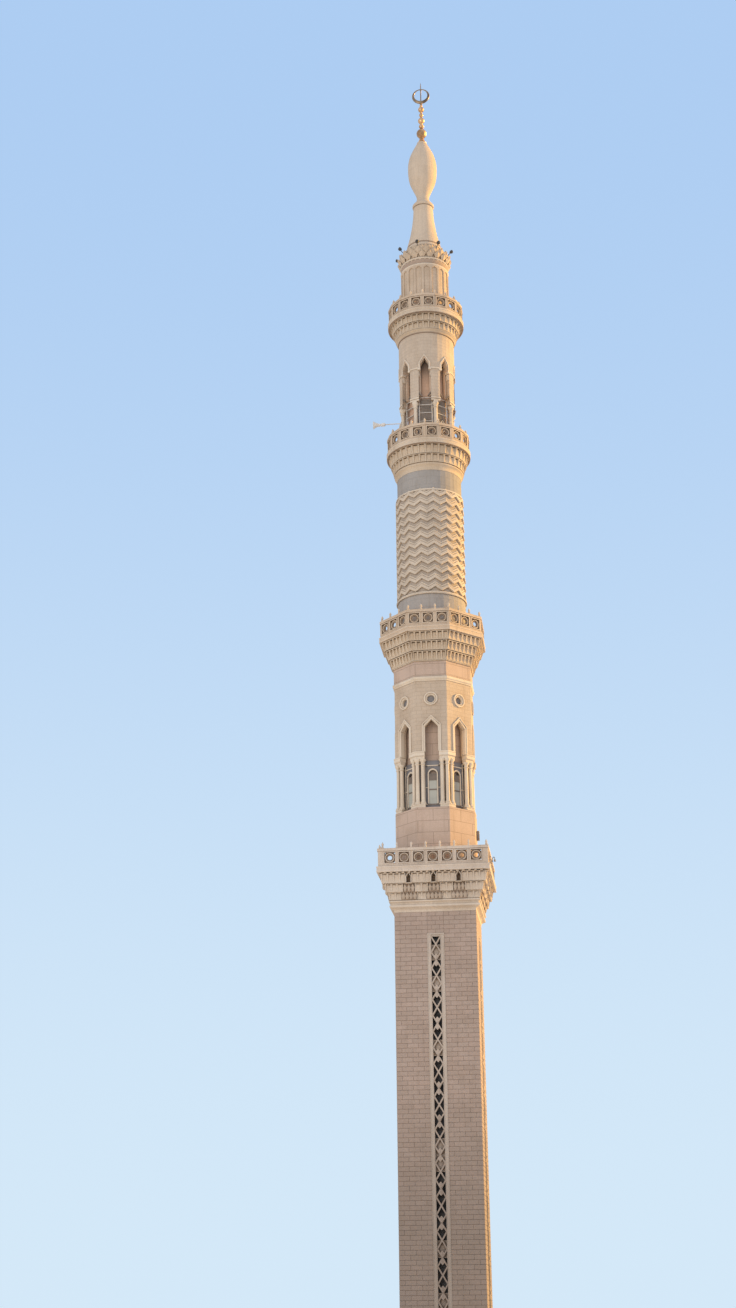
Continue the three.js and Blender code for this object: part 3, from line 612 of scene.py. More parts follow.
# The shaft's mortar, blocks and frame grow darker towards the foot: painted shade of the surroundings.
MORTAR = stone("shaft mortar", (0.235, 0.165, 0.13), painted_shade=0.4, shade=(FOOT_SHADE, 0.85))
SHAFT_BLOCKS = stone("shaft stone", (0.375, 0.277, 0.227), spread=0.4, shade=(FOOT_SHADE, 0.95), speckle=0.5,
                     painted_shade=0.75, reach=0.006, wear=0.5)
SHAFT_FRAME = stone("shaft frame stone", (0.52, 0.445, 0.37), clouds=0.4, streaks=0.4, shade=(FOOT_SHADE, 0.8))
DARK_PANEL = metal("dark panel", (0.13, 0.13, 0.145), (0.08, 0.08, 0.09), rough=0.5, metallic=0.1)
BRACKET = metal("bracket enamel", (0.1, 0.065, 0.045), (0.06, 0.042, 0.03), rough=0.5, metallic=0.2)
LOUVRE = metal("louvre enamel", (0.15, 0.12, 0.095), (0.09, 0.075, 0.06), rough=0.75, metallic=0.0)
PALE_PANE = metal("pale pane", (0.36, 0.37, 0.31), (0.28, 0.29, 0.25), rough=0.3, metallic=0.0)
GILT = metal("gilt", (0.76, 0.49, 0.25), (0.36, 0.225, 0.12), rough=0.38)
AGED_GILT = metal("aged gilt", (0.36, 0.26, 0.16), (0.15, 0.11, 0.07), rough=0.36)
WHITE_ENAMEL = metal("white enamel", (0.78, 0.76, 0.7), (0.62, 0.58, 0.5), rough=0.42, metallic=0.0)
RAIL_ENAMEL = metal("rail enamel", (0.62, 0.58, 0.51), (0.46, 0.42, 0.36), rough=0.5, metallic=0.0)
GREY_ENAMEL = metal("grey enamel", (0.22, 0.22, 0.22), (0.14, 0.14, 0.14), rough=0.45, metallic=0.2)
BLACK_ENAMEL = metal("black enamel", (0.035, 0.033, 0.032), (0.02, 0.02, 0.02), rough=0.4, metallic=0.2)
LAMP_GLASS = lamp_glass()


# The solids that stay in the model, with their finishes

for material, names in (
    (MORTAR, [f"shaft_wall_{side}" for side in SIDES]),
    (SHAFT_FRAME, [f"shaft_lattice_{side}" for side in SIDES]),
    (BALCONY, ["square_balcony_floor", *(f"square_balustrade_{side}" for side in SIDES)]),
    (WARM, ["octagon_balcony_floor", "lower_round_floor", "upper_round_floor", "octagon_balustrade",
            "lower_round_balustrade", "upper_round_balustrade"]),
    (PINK_BLOCKS, ["octagon_plinth", "octagon_stair_core", "lantern_stair_head"]),
    (STAGE_BLOCKS, ["octagon_arcade_wall", "lantern_arcade"]),
    (SMOOTH, [*(f"corner_columns_{number}" for number in range(1, 9)), "lantern_columns"]),
    (DARK_PANEL, ["octagon_window_screens"]),
    (GREY_BAND, ["lower_grey_band"]),
    (DEEP_GREY_BAND, ["upper_grey_band"]),
    (DRUM_BLOCKS, ["top_drum"]),
    (RAIL_ENAMEL, ["lantern_railing"]),
):
    for name in names:
        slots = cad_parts[name].data.materials
        slots.clear()
        slots.append(material)


# Parapets: a pierced stone ring in every bay, spiked posts and mouldings

RING_OUTER, RING_INNER = 0.36, 0.275
BAY_MIDDLE = 0.67
RAIL_TOP = 1.37
WALL = 0.25
FLOORS = {"square": 32.45, "octagon": 51.15, "lower_round": 67.4, "upper_round": 79.45}


def pierced_ring():
    """A raised stone ring on both faces of a bay's plate, standing upright at the origin."""
    section = [
        (RING_INNER, -0.03), (0.285, -0.085), (0.305, -0.1), (0.335, -0.1), (0.35, -0.085),
        (RING_OUTER, -0.03), (RING_OUTER, 0.07), (RING_INNER, 0.07), (RING_INNER, -0.03),
    ]
    return round_shading(turned_to_front(section, 20))


def bay_frame():
    """A moulded square frame round one bay, on the outer face of the wall."""
    band, proud = 0.055 * M, 0.035 * M
    reach = 0.39 * M + band
    upright_face(-reach, reach, -reach, reach)
    bpy.ops.mesh.select_mode(type="FACE")
    inset(band)
    bpy.ops.mesh.delete(type="FACE")
    bpy.ops.mesh.select_all(action="SELECT")
    pull(y=-proud)
    outward_faces()
    return leave()


def round_cutter(radius, x, z, sides):
    """A short bar along y, to cut a round hole with."""
    return moved(turned_to_front([(0, -1), (radius, -1), (radius, 1), (0, 1)], sides), at(x, 0, z))


def corner_plate():
    """The thin sunk plate of one bay: a round hole in its middle, a small one in each corner."""
    side, spot = 0.389, 0.333
    plate = carve(block(-side, side, -0.03, 0.04, -side, side), round_cutter(0.17, 0, 0, 20))
    for x in (-spot, spot):
        for z in (-spot, spot):
            plate = carve(plate, round_cutter(0.045, x, z, 8))
    return plate


def spiked_post():
    """A post's top on the rail: square foot, waist, and a pointed bud."""
    profile = [
        (0.0, 0.0), (0.1, 0.0), (0.1, 0.07), (0.065, 0.1), (0.05, 0.2), (0.075, 0.26), (0.085, 0.33),
        (0.05, 0.42), (0.0, 0.5),
    ]
    return round_shading(turned(profile, 8, flats=True), 40)


def dress_parapet(name, material, bays, posts):
    """Rings, frames, plates and posts copied to their places on one parapet."""
    middles = [place @ at(y=WALL / 2) for place in bays]
    rings = repeated(pierced_ring(), middles)
    frames = repeated(bay_frame(), bays)
    whole = joined([rings, frames, repeated(spiked_post(), posts)])
    # The plates' dark stone is painted shade.
    standing(repeated(corner_plate(), middles), f"{name}_parapet_plates", PLATE_SHADE, "warm_stone")
    standing(whole, f"{name}_parapet_rings", material, "warm_stone")


# Each parapet: its sides, the faces of its bays and posts, their offsets on a side, and the first bay's turn
for name, material, count, bay_face, post_face, bay_offsets, post_offsets, first in (
    ("square", BALCONY_CARVED, 4, 4.03, 4.03, evenly(1.054, 7), evenly(1.054, 8)[:-1], 0),
    ("octagon", CARVED, OCTAGON_SIDES, 3.92, 3.92, (-1.06, 0, 1.06), (-1.53, -0.53, 0.53), 0),
    ("lower_round", CARVED, ROUND_BAYS, 3.26, 3.27, (0,), (0,), 10),
    ("upper_round", CARVED, ROUND_BAYS, 3.02, 3.03, (0,), (0,), 10),
):
    dress_parapet(
        name, material, level_places(count, bay_face, FLOORS[name] + BAY_MIDDLE, bay_offsets, first),
        level_places(count, post_face, FLOORS[name] + RAIL_TOP, post_offsets, back=WALL / 2),
    )


# Corbels: rows of small pointed niches that step outwards under each balcony

def niche(width, height, deep, rim=0.045, sink=0.1, back=0.8):
    """A leaning block with a hollow in its face that runs out at its foot, and a deep slot under its head.

    Its face stands at y = 0, its foot at z = 0."""
    wide, tall, rim, sink = width * M, height * M, rim * M, sink * M
    upright_face(-wide / 2, wide / 2, 0, tall)
    bpy.ops.mesh.select_mode(type="FACE")
    inset(rim)
    pull(y=sink)
    stretch(0.8, 1, 1)
    pick("VERT", lambda place, normal: place.y > sink * 0.9 and place.z < tall * 0.5)
    move(y=-sink * 0.9)
    pick("FACE", lambda place, normal: place.y > sink * 0.3 and abs(place.x) < TINY
         and 0.3 < place.z / tall < 0.7)
    inset(0.015 * M)
    stretch(0.94, 1, 0.12, about=(0, 0, tall - rim - 0.015 * M))
    pick("VERT", lambda place, normal: 0.02 * sink < place.y < 0.5 * sink and place.z > tall * 0.5)
    move(y=sink * 0.7)
    pick("FACE", lambda place, normal: abs(place.x) < TINY and place.y > sink * 0.6
         and tall * 0.7 < place.z < tall - rim - 0.03 * M)
    pull(y=sink)
    pick_open_edges()
    pull(y=deep * M)
    stretch(back, 1, 1)
    bpy.ops.mesh.edge_face_add()
    outward_faces()
    return leave()


def round_corbel(name, node, core, tiers, count=36):
    """A turned core with a ring of niches in front of each tier."""
    rows = [round_shading(turned(core, ROUND_STEPS), 30)]
    for radius, low, high, angle in tiers:
        width = 2 * radius * math.tan(math.pi / count) * 1.02
        cell = niche(width, high - low, 0.42, sink=0.15)
        rows.append(leaning(cell, angle, level_places(count, radius, low, first=5)))
    standing(joined(rows), name, NICHE_STONE, "warm_stone", node)


LOWER_CORE = [
    (2.1, 64.95), (2.6, 64.95), (2.62, 65.02), (2.6, 65.08), (2.62, 65.2), (2.68, 65.32), (2.78, 65.4),
    (2.8, 65.5), (2.72, 65.56), (2.74, 67.04), (3.3, 67.04), (3.3, 67.05), (2.1, 67.05), (2.1, 64.95),
]
UPPER_CORE = [
    (1.5, 77.6), (2.32, 77.6), (2.33, 77.64), (2.34, 77.68), (2.4, 77.76), (2.46, 77.8), (2.48, 77.86),
    (2.42, 77.9), (2.44, 79.11), (3.04, 79.11), (3.04, 79.12), (1.5, 79.12), (1.5, 77.6),
]
round_corbel("lower_round_niches", "lower_round_corbel", LOWER_CORE,
             [(2.82, 65.58, 66.27, 14), (3.04, 66.27, 67.03, 16)])
round_corbel("upper_round_niches", "upper_round_corbel", UPPER_CORE,
             [(2.5, 77.88, 78.49, 14), (2.74, 78.49, 79.1, 16)])


# The eight-sided corbel: three rows of seven niches on every face

EIGHT_CORE = [
    (1.9, 48.61), (3.04, 48.61), (3.06, 48.66), (2.93, 48.7), (2.95, 49.36), (3.2, 49.4), (3.22, 50.08),
    (3.5, 50.12), (3.52, 50.79), (3.96, 50.79), (3.96, 50.8), (1.9, 50.8), (1.9, 48.61),
]
EIGHT_TIERS = [(3.06, 48.68, 49.39), (3.36, 49.39, 50.1), (3.67, 50.1, 50.78)]
NICHES_A_FACE = 7


def eight_sided_corbel():
    rows = [soften(turned(EIGHT_CORE, OCTAGON_SIDES, flats=True), 0.02)]
    for distance, low, high in EIGHT_TIERS:
        width = 2 * distance * math.tan(math.pi / OCTAGON_SIDES) / NICHES_A_FACE
        places = level_places(OCTAGON_SIDES, distance, low, evenly(width, NICHES_A_FACE))
        cell = niche(width * 1.01, high - low, 0.4, rim=0.05, sink=0.17, back=1.0)
        rows.append(leaning(cell, 19, places))
    standing(joined(rows), "octagon_niches", NICHE_STONE, "warm_stone", "octagon_corbel")


eight_sided_corbel()


# The square corbel: rows of slim teeth, and three deep niches with stepped clusters below them

SQUARE_CORE = [
    (2.21, 29.25), (2.98, 29.25), (3.0, 29.33), (3.02, 29.42), (3.12, 29.5), (3.24, 29.56), (3.3, 29.6),
    (3.3, 29.72), (3.2, 29.76), (3.22, 29.9), (3.34, 29.97), (3.36, 30.05), (3.24, 30.09), (3.26, 30.62),
    (3.4, 30.66), (3.42, 31.24), (3.6, 31.28), (3.62, 32.06), (4.08, 32.06), (4.08, 32.08), (2.21, 32.08),
    (2.21, 29.25),
]
# Each row of teeth: its distance, foot, head, and the half-width kept free at each deep niche
SQUARE_TIERS = [(3.3, 30.12, 30.66, 0.58), (3.55, 30.66, 31.27, 0.44), (3.8, 31.27, 32.0, 0.22)]
DEEP_NICHES = (-1.83, 0.0, 1.83)


def arch_frame(width, low, spring, apex, band, deep, steps, y=0.0):
    """A raised band round a pointed arch, as an even strip that stands on two feet."""
    outer = arch_body(width + 2 * band, low, spring, apex + 1.45 * band, deep, y, steps)
    return carve(outer, arch_body(width, low - 0.5, spring, apex, -4 * deep, y - 2 * deep, steps))


def leaf(width, height, thick, bulge, tip):
    """A pointed leaf with a raised middle rib, standing at the origin with its back at y = 0."""
    wide, tall, deep = width * M, height * M, thick * M
    piece = upright_face(-wide / 2, wide / 2, 0, tall)
    pick("EDGE", lambda place, along: abs(place.x) > wide / 2 - TINY or place.z > tall - TINY
         or place.z < TINY)
    bpy.ops.mesh.subdivide(number_cuts=1)
    for test, shift, squeeze in (
        (lambda place, normal: place.z > tall - TINY and abs(place.x) > TINY, -tall * tip, 0.8),
        (lambda place, normal: place.z < TINY and abs(place.x) > TINY, 0.0, 0.45),
    ):
        pick("VERT", test)
        move(z=shift)
        stretch(squeeze, 1, 1)
    bpy.ops.mesh.select_all(action="SELECT")
    bpy.ops.mesh.select_mode(type="FACE")
    pull(y=-deep * 0.4)
    inset(wide * 0.06)
    pull(y=-deep * 0.6)
    stretch(bulge, 1, 0.8, about=(0, 0, tall * 0.5))
    outward_faces()
    return leave()


def deep_niches(core):
    """Tall pointed pockets cut into the core, each with a raised hood and a ledge at its foot."""
    pocket = arch_body(0.33, 31.28, 31.72, 31.98, -0.8, y=-4.0)
    core = carve(core, repeated(pocket, level_places(4, offsets=DEEP_NICHES)))
    hood = arch_frame(0.33, 0.0, 0.44, 0.69, 0.05, 0.2, steps=1)
    ledge = soften(block(-0.24, 0.24, -0.1, 0.2, -0.05, 0.0), 0.015)
    # Dark linings in the pockets: painted shade.
    lining = repeated(block(-0.165, 0.165, 3.22, 3.4, 31.28, 31.98),
                      level_places(4, offsets=DEEP_NICHES, first=180))
    # The grounds behind the leaf clusters are dark with painted shade.
    grounds = [
        repeated(block(-wide, wide, 0.0, 0.1, 0.0, tall), level_places(4, distance, low, DEEP_NICHES))
        for wide, tall, distance, low in ((0.42, 0.58, 3.5, 30.67), (0.56, 0.56, 3.34, 30.1))
    ]
    standing(joined(grounds), "cluster_grounds", BAND_TONE_AND_SHADE, "warm_stone")
    standing(lining, "niche_grounds", RECESS_SHADE, "warm_stone")
    return [core, *(repeated(part, level_places(4, 3.74, 31.28, DEEP_NICHES)) for part in (hood, ledge))]


def runs_between(edge, free, ideal=0.44):
    """Even cells between the deep niches and the corners of one side: a list of middles and their width."""
    stops = [(-edge, 0.0), *((x, free) for x in DEEP_NICHES), (edge, 0.0)]
    runs = []
    for (start, before), (end, after) in zip(stops, stops[1:]):
        length = end - after - start - before
        count = max(1, round(length / ideal))
        runs.append(([start + before + length / count * (i + 0.5) for i in range(count)], length / count))
    return runs


def square_corbel():
    rows = deep_niches(soften(turned(SQUARE_CORE, 4, flats=True), 0.015))
    for distance, low, high, free in SQUARE_TIERS:
        for offsets, width in runs_between(distance, free):
            cell = niche(width * 0.99, high - low, 0.3, rim=0.04, sink=0.09, back=1.0)
            rows.append(leaning(cell, 10, level_places(4, distance, low, offsets)))
    leaves = []
    for distance, low, wide, tall, count in ((3.52, 30.68, 0.27, 0.56, 3), (3.36, 30.12, 0.3, 0.52, 4)):
        spots = [x + offset for x in DEEP_NICHES for offset in evenly(0.28, count)]
        leaves.append(leaning(leaf(wide, tall, 0.07, 0.4, 0.4), 8, level_places(4, distance, low, spots)))
    standing(joined(leaves), "cluster_leaves", CLUSTER_LEAVES, "warm_stone")
    dentil = soften(block(-0.09, 0.09, -0.1, 0.3, 0.0, 0.09), 0.015)
    rows.append(repeated(dentil, level_places(4, 3.94, 31.97, evenly(0.44, 17))))
    standing(joined(rows), "square_niches", BALCONY_NICHES, "warm_stone", "square_corbel")


square_corbel()


# Fascias: a thin lip and a drip under each balcony's edge

def fascia_lip(name, half, low, high, sides, material):
    section = [
        (half - 0.14, low - 0.03), (half + 0.02, low - 0.03), (half + 0.03, low + 0.05),
        (half + 0.01, low + 0.09), (half + 0.01, high - 0.1), (half + 0.035, high - 0.07),
        (half + 0.035, high + 0.012), (half - 0.14, high + 0.012), (half - 0.14, low - 0.03),
    ]
    lip = turned(section, sides, flats=sides <= OCTAGON_SIDES)
    if sides > OCTAGON_SIDES:
        round_shading(lip, 30)
    standing(lip, name, material, "warm_stone")


fascia_lip("square_fascia_moulding", 4.12, 32.08, 32.45, 4, BALCONY)
fascia_lip("octagon_fascia_moulding", 4.0, 50.8, 51.15, OCTAGON_SIDES, WARM)
fascia_lip("lower_fascia_moulding", 3.38, 67.05, 67.4, ROUND_STEPS, ROUND_FASCIA)
fascia_lip("upper_fascia_moulding", 3.13, 79.12, 79.45, ROUND_STEPS, ROUND_FASCIA)


# The drum of zigzag courses

WAVES = 16
ZIGZAG_COURSES = 12


def zigzag_rib():
    """One proud zigzag course: sharp dark underside, sloping back above. Valleys at the front."""
    section = [
        (2.55, 0.0), (2.735, 0.0), (2.75, 0.05), (2.735, 0.24), (2.71, 0.27), (2.665, 0.28), (2.665, 0.31),
        (2.685, 0.32), (2.68, 0.43), (2.64, 0.46), (2.55, 0.46), (2.55, 0.0),
    ]
    rib = turned(section, 2 * WAVES)
    edit(rib)
    step = FULL_TURN / WAVES

    def in_valley(place, normal):
        turn = math.atan2(place.x, -place.y) / step
        return abs(turn - round(turn)) < 0.1
    pick("VERT", in_valley)
    move(z=-0.33 * M)
    leave()
    return soften(rib, 0.01)


def zigzag_drum():
    first, pitch = 54.88, 0.732
    ribs = repeated(zigzag_rib(), [at(z=first + pitch * course) for course in range(ZIGZAG_COURSES)])
    wall, ring, cap = (round_shading(turned(section, 64), 30) for section in (
        [(2.1, 54.3), (2.59, 54.3), (2.6, 54.4), (2.6, 63.25), (2.1, 63.25), (2.1, 54.3)],
        [(2.55, 54.3), (2.76, 54.3), (2.79, 54.36), (2.79, 54.42), (2.74, 54.49), (2.55, 54.49),
         (2.55, 54.3)],
        [(2.5, 63.15), (2.7, 63.15), (2.72, 63.2), (2.7, 63.28), (2.5, 63.28), (2.5, 63.15)],
    ))
    # The wall's dark stone is painted shade under the ribs.
    standing(wall, "zigzag_shade_ground", ZIGZAG_SHADE_GROUND, "warm_stone")
    standing(joined([ribs, ring, cap]), "zigzag_ribs", ZIGZAG, "warm_stone", "zigzag_drum")


zigzag_drum()


# The eight-sided arcade: arch frames, round lights, slender columns and the screens behind them

def moulded_ring(section, height, distance):
    """A ring moulding round a hole in a wall that looks to the front."""
    return moved(round_shading(turned_to_front(section, 28)), at(0, -distance, height))


OCTAGON_WALL = 2.93


LIGHT_LEVEL = 45.6


def arcade_dress():
    """Two frames round the arch and a ring round the light above it, on every side."""
    outer = arch_frame(1.24, 41.4, 43.56, 44.14, 0.11, 0.1, steps=1, y=0.02 - OCTAGON_WALL)
    inner = arch_frame(0.98, 41.4, 43.42, 43.95, 0.19, 0.36, steps=1, y=0.32 - OCTAGON_WALL)
    pieces = [soften(outer, 0.02), soften(inner, 0.015)]
    light = [
        (0.27, 0.14), (0.29, 0.0), (0.36, -0.07), (0.41, -0.04), (0.44, -0.1), (0.52, -0.1), (0.54, -0.02),
        (0.54, 0.06), (0.3, 0.14), (0.27, 0.14),
    ]
    pieces.append(moulded_ring(light, LIGHT_LEVEL, OCTAGON_WALL))
    standing(all_round(joined(pieces)), "arcade_frames", SMOOTH, "pale_stone")


arcade_dress()

string = turned([
    (2.85, 47.02), (2.98, 47.02), (2.99, 47.1), (3.05, 47.16), (3.07, 47.22), (3.07, 47.3), (3.04, 47.36),
    (2.98, 47.4), (2.85, 47.4), (2.85, 47.02),
], 8, flats=True)
standing(soften(string, 0.012), "arcade_string_moulding", SMOOTH, "pale_stone")

upper_band = turned([
    (2.85, 47.42), (2.965, 47.42), (2.965, 48.6), (2.85, 48.6), (2.85, 47.42),
], 8, flats=True)
standing(upper_band, "rose_band", PINK_BLOCKS, "pink_stone")

pane_section = [(0.0, 0.2), (0.0, 0.16), (0.31, 0.16), (0.31, 0.2), (0.0, 0.2)]
light_pane = moulded_ring(pane_section, LIGHT_LEVEL, OCTAGON_WALL)
standing(all_round(light_pane), "round_light_panes", DARK_PANEL, "dark_panel")


def slender_column(r, foot, top, sides=14):
    """A turned column of radius r: rounded base, slim shaft with a neck ring, and a spreading cap."""
    profile = [
        (0, foot), (r * 1.75, foot), (r * 1.75, foot + 0.06), (r * 1.5, foot + 0.1), (r * 1.6, foot + 0.15),
        (r * 1.25, foot + 0.22), (r * 1.06, foot + 0.3), (r, (foot + top) / 2), (r * 0.96, top - 0.42),
        (r * 1.3, top - 0.39), (r * 1.3, top - 0.34), (r, top - 0.3), (r * 1.15, top - 0.18),
        (r * 1.7, top - 0.08), (r * 1.75, top), (0, top),
    ]
    return round_shading(turned(profile, sides), 40)


def corner_clusters():
    line, spacing = 2.72, 0.4
    half_face = line * math.tan(math.pi / 8)
    shafts = [
        moved(slender_column(0.148, 37.35, 40.85), at(offset, -line))
        for offset in (half_face, half_face - spacing, spacing - half_face)
    ]
    standing(all_round(joined(shafts)), "slender_columns", SMOOTH, "pale_stone")


corner_clusters()


def corner_caps():
    """Thin mouldings that run round each corner's entablature and foot block."""
    pieces = []
    for low, high, line, length in (
        (41.06, 41.14, 3.0, 0.72), (41.34, 41.44, 3.06, 0.72), (37.1, 37.16, 2.97, 0.68),
        (37.28, 37.36, 2.95, 0.68),
    ):
        reach = line * math.tan(math.pi / OCTAGON_SIDES)
        for start in (reach - length, -reach):
            strip = block(0, length, -line, 0.12 - line, low, high)
            pieces.append(soften(moved(strip, at(start)), 0.018))
    standing(all_round(joined(pieces)), "corner_mouldings", SMOOTH, "pale_stone")


corner_caps()


def window_screens():
    """Pale frames on the dark screens: a round-headed arch, mullions and rails."""
    face = -2.41
    frames = [arch_frame(0.6, 37.5, 39.8, 40.1, 0.09, 0.08, steps=5, y=face)]
    for x in (-0.86, -0.6, 0.6, 0.86):
        frames.append(block(x - 0.03, x + 0.03, face - 0.06, face + 0.01, 37.2, 40.8))
    for z in (37.45, 38.75, 40.45):
        for left, right in ((-0.9, -0.39), (0.39, 0.9)):
            frames.append(block(left, right, face - 0.05, face + 0.01, z - 0.03, z + 0.03))
    frames.append(block(-0.9, 0.9, face - 0.05, face + 0.01, 40.42, 40.5))
    standing(all_round(soften(joined(frames), 0.01)), "screen_frames", SMOOTH, "pale_stone")


def window_panes():
    """Pale glass under the arch of every screen, dark rails across it and a dark head above it."""
    face, half = -2.42, 0.34
    pane = block(-half, half, face, face + 0.03, 37.4, 39.35)
    head = block(-half, half, face, face + 0.03, 39.35, 39.83)
    rails = [block(-half, half, face - 0.03, face + 0.03, z - 0.045, z + 0.045) for z in (37.45, 38.6, 39.35)]
    standing(all_round(pane), "screen_panes", PALE_PANE, "grey_paint")
    standing(all_round(joined([head, *rails])), "screen_heads", BRACKET, "black_paint")


window_screens()
window_panes()


# The lantern: columns, arch frames, a string moulding between them, shoulders and the railing

LANTERN_WALL = 2.28


def lantern_frames():
    """The frame on the face of every arch, and the deep reveal with its jambs behind it."""
    face = arch_frame(0.7, 74.28, 74.84, 75.38, 0.13, 0.13, steps=1, y=0.06 - LANTERN_WALL)
    reveal = arch_frame(0.7, 74.24, 74.7, 75.25, 0.18, 0.42, steps=1, y=0.4 - LANTERN_WALL)
    pieces, inside = [soften(face, 0.02)], [soften(reveal, 0.015)]
    for side in (-1, 1):
        x = side * 0.44
        jamb = block(x - 0.09, x + 0.09, 0.38 - LANTERN_WALL, 0.64 - LANTERN_WALL, 71.95, 74.8)
        inside.append(soften(jamb, 0.01))
        for middle, half, low, high, proud in (
            (0.45, 0.12, 74.14, 74.3, 0.08), (0.485, 0.045, 73.6, 74.14, -0.04),
        ):
            x = side * middle
            step = block(x - half, x + half, -LANTERN_WALL - proud, 0.36 - LANTERN_WALL, low, high)
            pieces.append(soften(step, 0.02))
    lining = wrap(joined(inside), LANTERN_WALL)
    # The reveals' pale colour is painted bounce light.
    standing(all_round(lining), "lantern_reveals", REVEAL_BOUNCE_LIGHT, "warm_stone")
    standing(all_round(wrap(joined(pieces), LANTERN_WALL)), "lantern_arch_frames", SMOOTH, "pale_stone")


def lantern_string():
    """The moulding between one arch and the next, a ring with the arches cut out of it."""
    pieces = []
    for low, proud in ((74.25, 0.07), (71.36, 0.04), (71.53, 0.08)):
        high, radius = low + 0.13, LANTERN_WALL + proud
        ring = turned([
            (2.2, low), (radius - 0.02, low), (radius, low + 0.04), (radius, high - 0.04),
            (radius - 0.02, high), (2.2, high), (2.2, low),
        ], 64)
        for turn in (0, 45, 90, 135):
            gap = block(-0.5, 0.5, -3, 3, low - 0.5, high + 0.5)
            ring = carve(ring, moved(gap, about_axis(turn)))
        pieces.append(ring)
    standing(joined(pieces), "lantern_string_moulding", SMOOTH, "pale_stone")


lantern_frames()
lantern_string()

lantern_shaft = moved(slender_column(0.15, 67.6, 71.17, sides=16), at(y=-2.12))
standing(all_round(lantern_shaft, first=22.5), "lantern_column_shafts", SMOOTH, "pale_stone")


stair_head = turned([
    (1.25, 67.41), (1.6, 67.41), (1.6, 75.55), (1.25, 75.6), (1.25, 67.41),
], 48)
standing(round_shading(stair_head, 30), "stair_head_cladding", STAIR_HEAD, "pink_stone")


def corner_brackets():
    """Small dark brackets in the upper corners, beside the columns' caps."""
    arms = [
        moved(block(-0.045, 0.045, -2.2, -2.06, -0.24, 0.24), at(side * 0.38, 0, 71.96) @ swing(side * 40))
        for side in (-1, 1)
    ]
    standing(all_round(soften(joined(arms), 0.01)), "lantern_brackets", BRACKET, "black_paint")


corner_brackets()


# The turns of the bays that louvres close
LOUVRED_BAYS = (0, 45, 180, 225)


def louvres():
    """Dark slats between the rails of the railing, a little tilted, in four of the eight bays."""
    slat = moved(soften(block(-0.44, 0.44, -0.012, 0.012, -0.05, 0.05), 0.006), lean(24))
    places = [about_axis(turn) @ at(0, -1.735, 68.0 + 0.135 * i) for turn in LOUVRED_BAYS for i in range(28)]
    standing(repeated(slat, places), "railing_slats", LOUVRE, "grey_paint")


def side_shade_boards():
    """Narrow dark boards between the louvres and the columns: painted shade in the gaps there."""
    boards = [block(side * 0.6 - 0.06, side * 0.6 + 0.06, -1.74, -1.7, 67.45, 71.2) for side in (-1, 1)]
    places = [about_axis(turn) for turn in LOUVRED_BAYS]
    standing(repeated(soften(joined(boards), 0.01), places), "railing_side_shade_boards", DARK_PANEL, "dark_panel")


def railing_bars():
    """Pale rails and stiles proud of the railing's own frame, and one diamond brace."""
    across, half = 1.79, 0.028
    bars = [
        block(-0.52, 0.52, -(across + 0.03), 0.03 - across, z - half, z + half)
        for z in (71.8, 71.17, 70.43, 69.69, 68.95, 68.21)
    ]
    bars += [
        block(x - half, x + half, -(across + 0.04), 0.03 - across, 67.45, 71.83) for x in (-0.5, 0.5)
    ]
    set_of_bars = all_round(soften(joined(bars), 0.012))
    braces = [
        moved(block(-0.025, 0.025, -0.02, 0.02, -0.36, 0.36),
              about_axis(45) @ at(x, -(across + 0.05), z) @ swing(angle))
        for angle, x, z in ((38, -0.22, 69.6), (-38, 0.22, 69.6), (-38, -0.22, 69.05), (38, 0.22, 69.05))
    ]
    whole = joined([set_of_bars, soften(joined(braces), 0.01)])
    standing(whole, "railing_rails", RAIL_ENAMEL, "white_paint")


louvres()
side_shade_boards()
railing_bars()


# The top drum: eighteen tall panels between ribs, then the crown of leaves

def drum_panels():
    plate = block(-0.352, 0.352, -2.0, -1.86, 79.5, 84.3)
    edit(plate)
    pick("EDGE", lambda place, along: abs(along.x) > 0.1 * M)
    bpy.ops.mesh.subdivide(number_cuts=3)
    plate = carve(leave(), arch_body(0.48, 79.75, 83.93, 84.1, 0.3, y=-1.925))
    whole = wrap(soften(plate, 0.02), 1.98)
    standing(all_round(whole, ROUND_BAYS, 10), "top_drum_panels", WARM, "warm_stone")


drum_panels()

for name, material, slot, sections in (
    ("top_drum_rings", SMOOTH, "pale_stone", (
        [(1.85, 84.24), (2.0, 84.24), (2.03, 84.29), (2.01, 84.36), (1.95, 84.4), (1.85, 84.4),
         (1.85, 84.24)],
        [(1.85, 84.79), (2.0, 84.79), (2.05, 84.83), (2.06, 84.87), (2.04, 84.92), (2.0, 84.95),
         (1.85, 84.95), (1.85, 84.79)],
    )),
    ("top_drum_band", BAND_TONE_AND_SHADE, "warm_stone", (
        [(1.85, 84.4), (1.96, 84.4), (2.0, 84.5), (2.0, 84.73), (1.85, 84.73), (1.85, 84.4)],
    )),
    # A thin dark ring in the groove under the torus: painted shadow.
    ("top_drum_groove", RECESS_SHADE, "warm_stone", (
        [(1.85, 84.73), (1.995, 84.73), (1.995, 84.79), (1.85, 84.79), (1.85, 84.73)],
    )),
):
    rings = [round_shading(turned(section, ROUND_STEPS), 30) for section in sections]
    standing(joined(rings), name, material, slot)


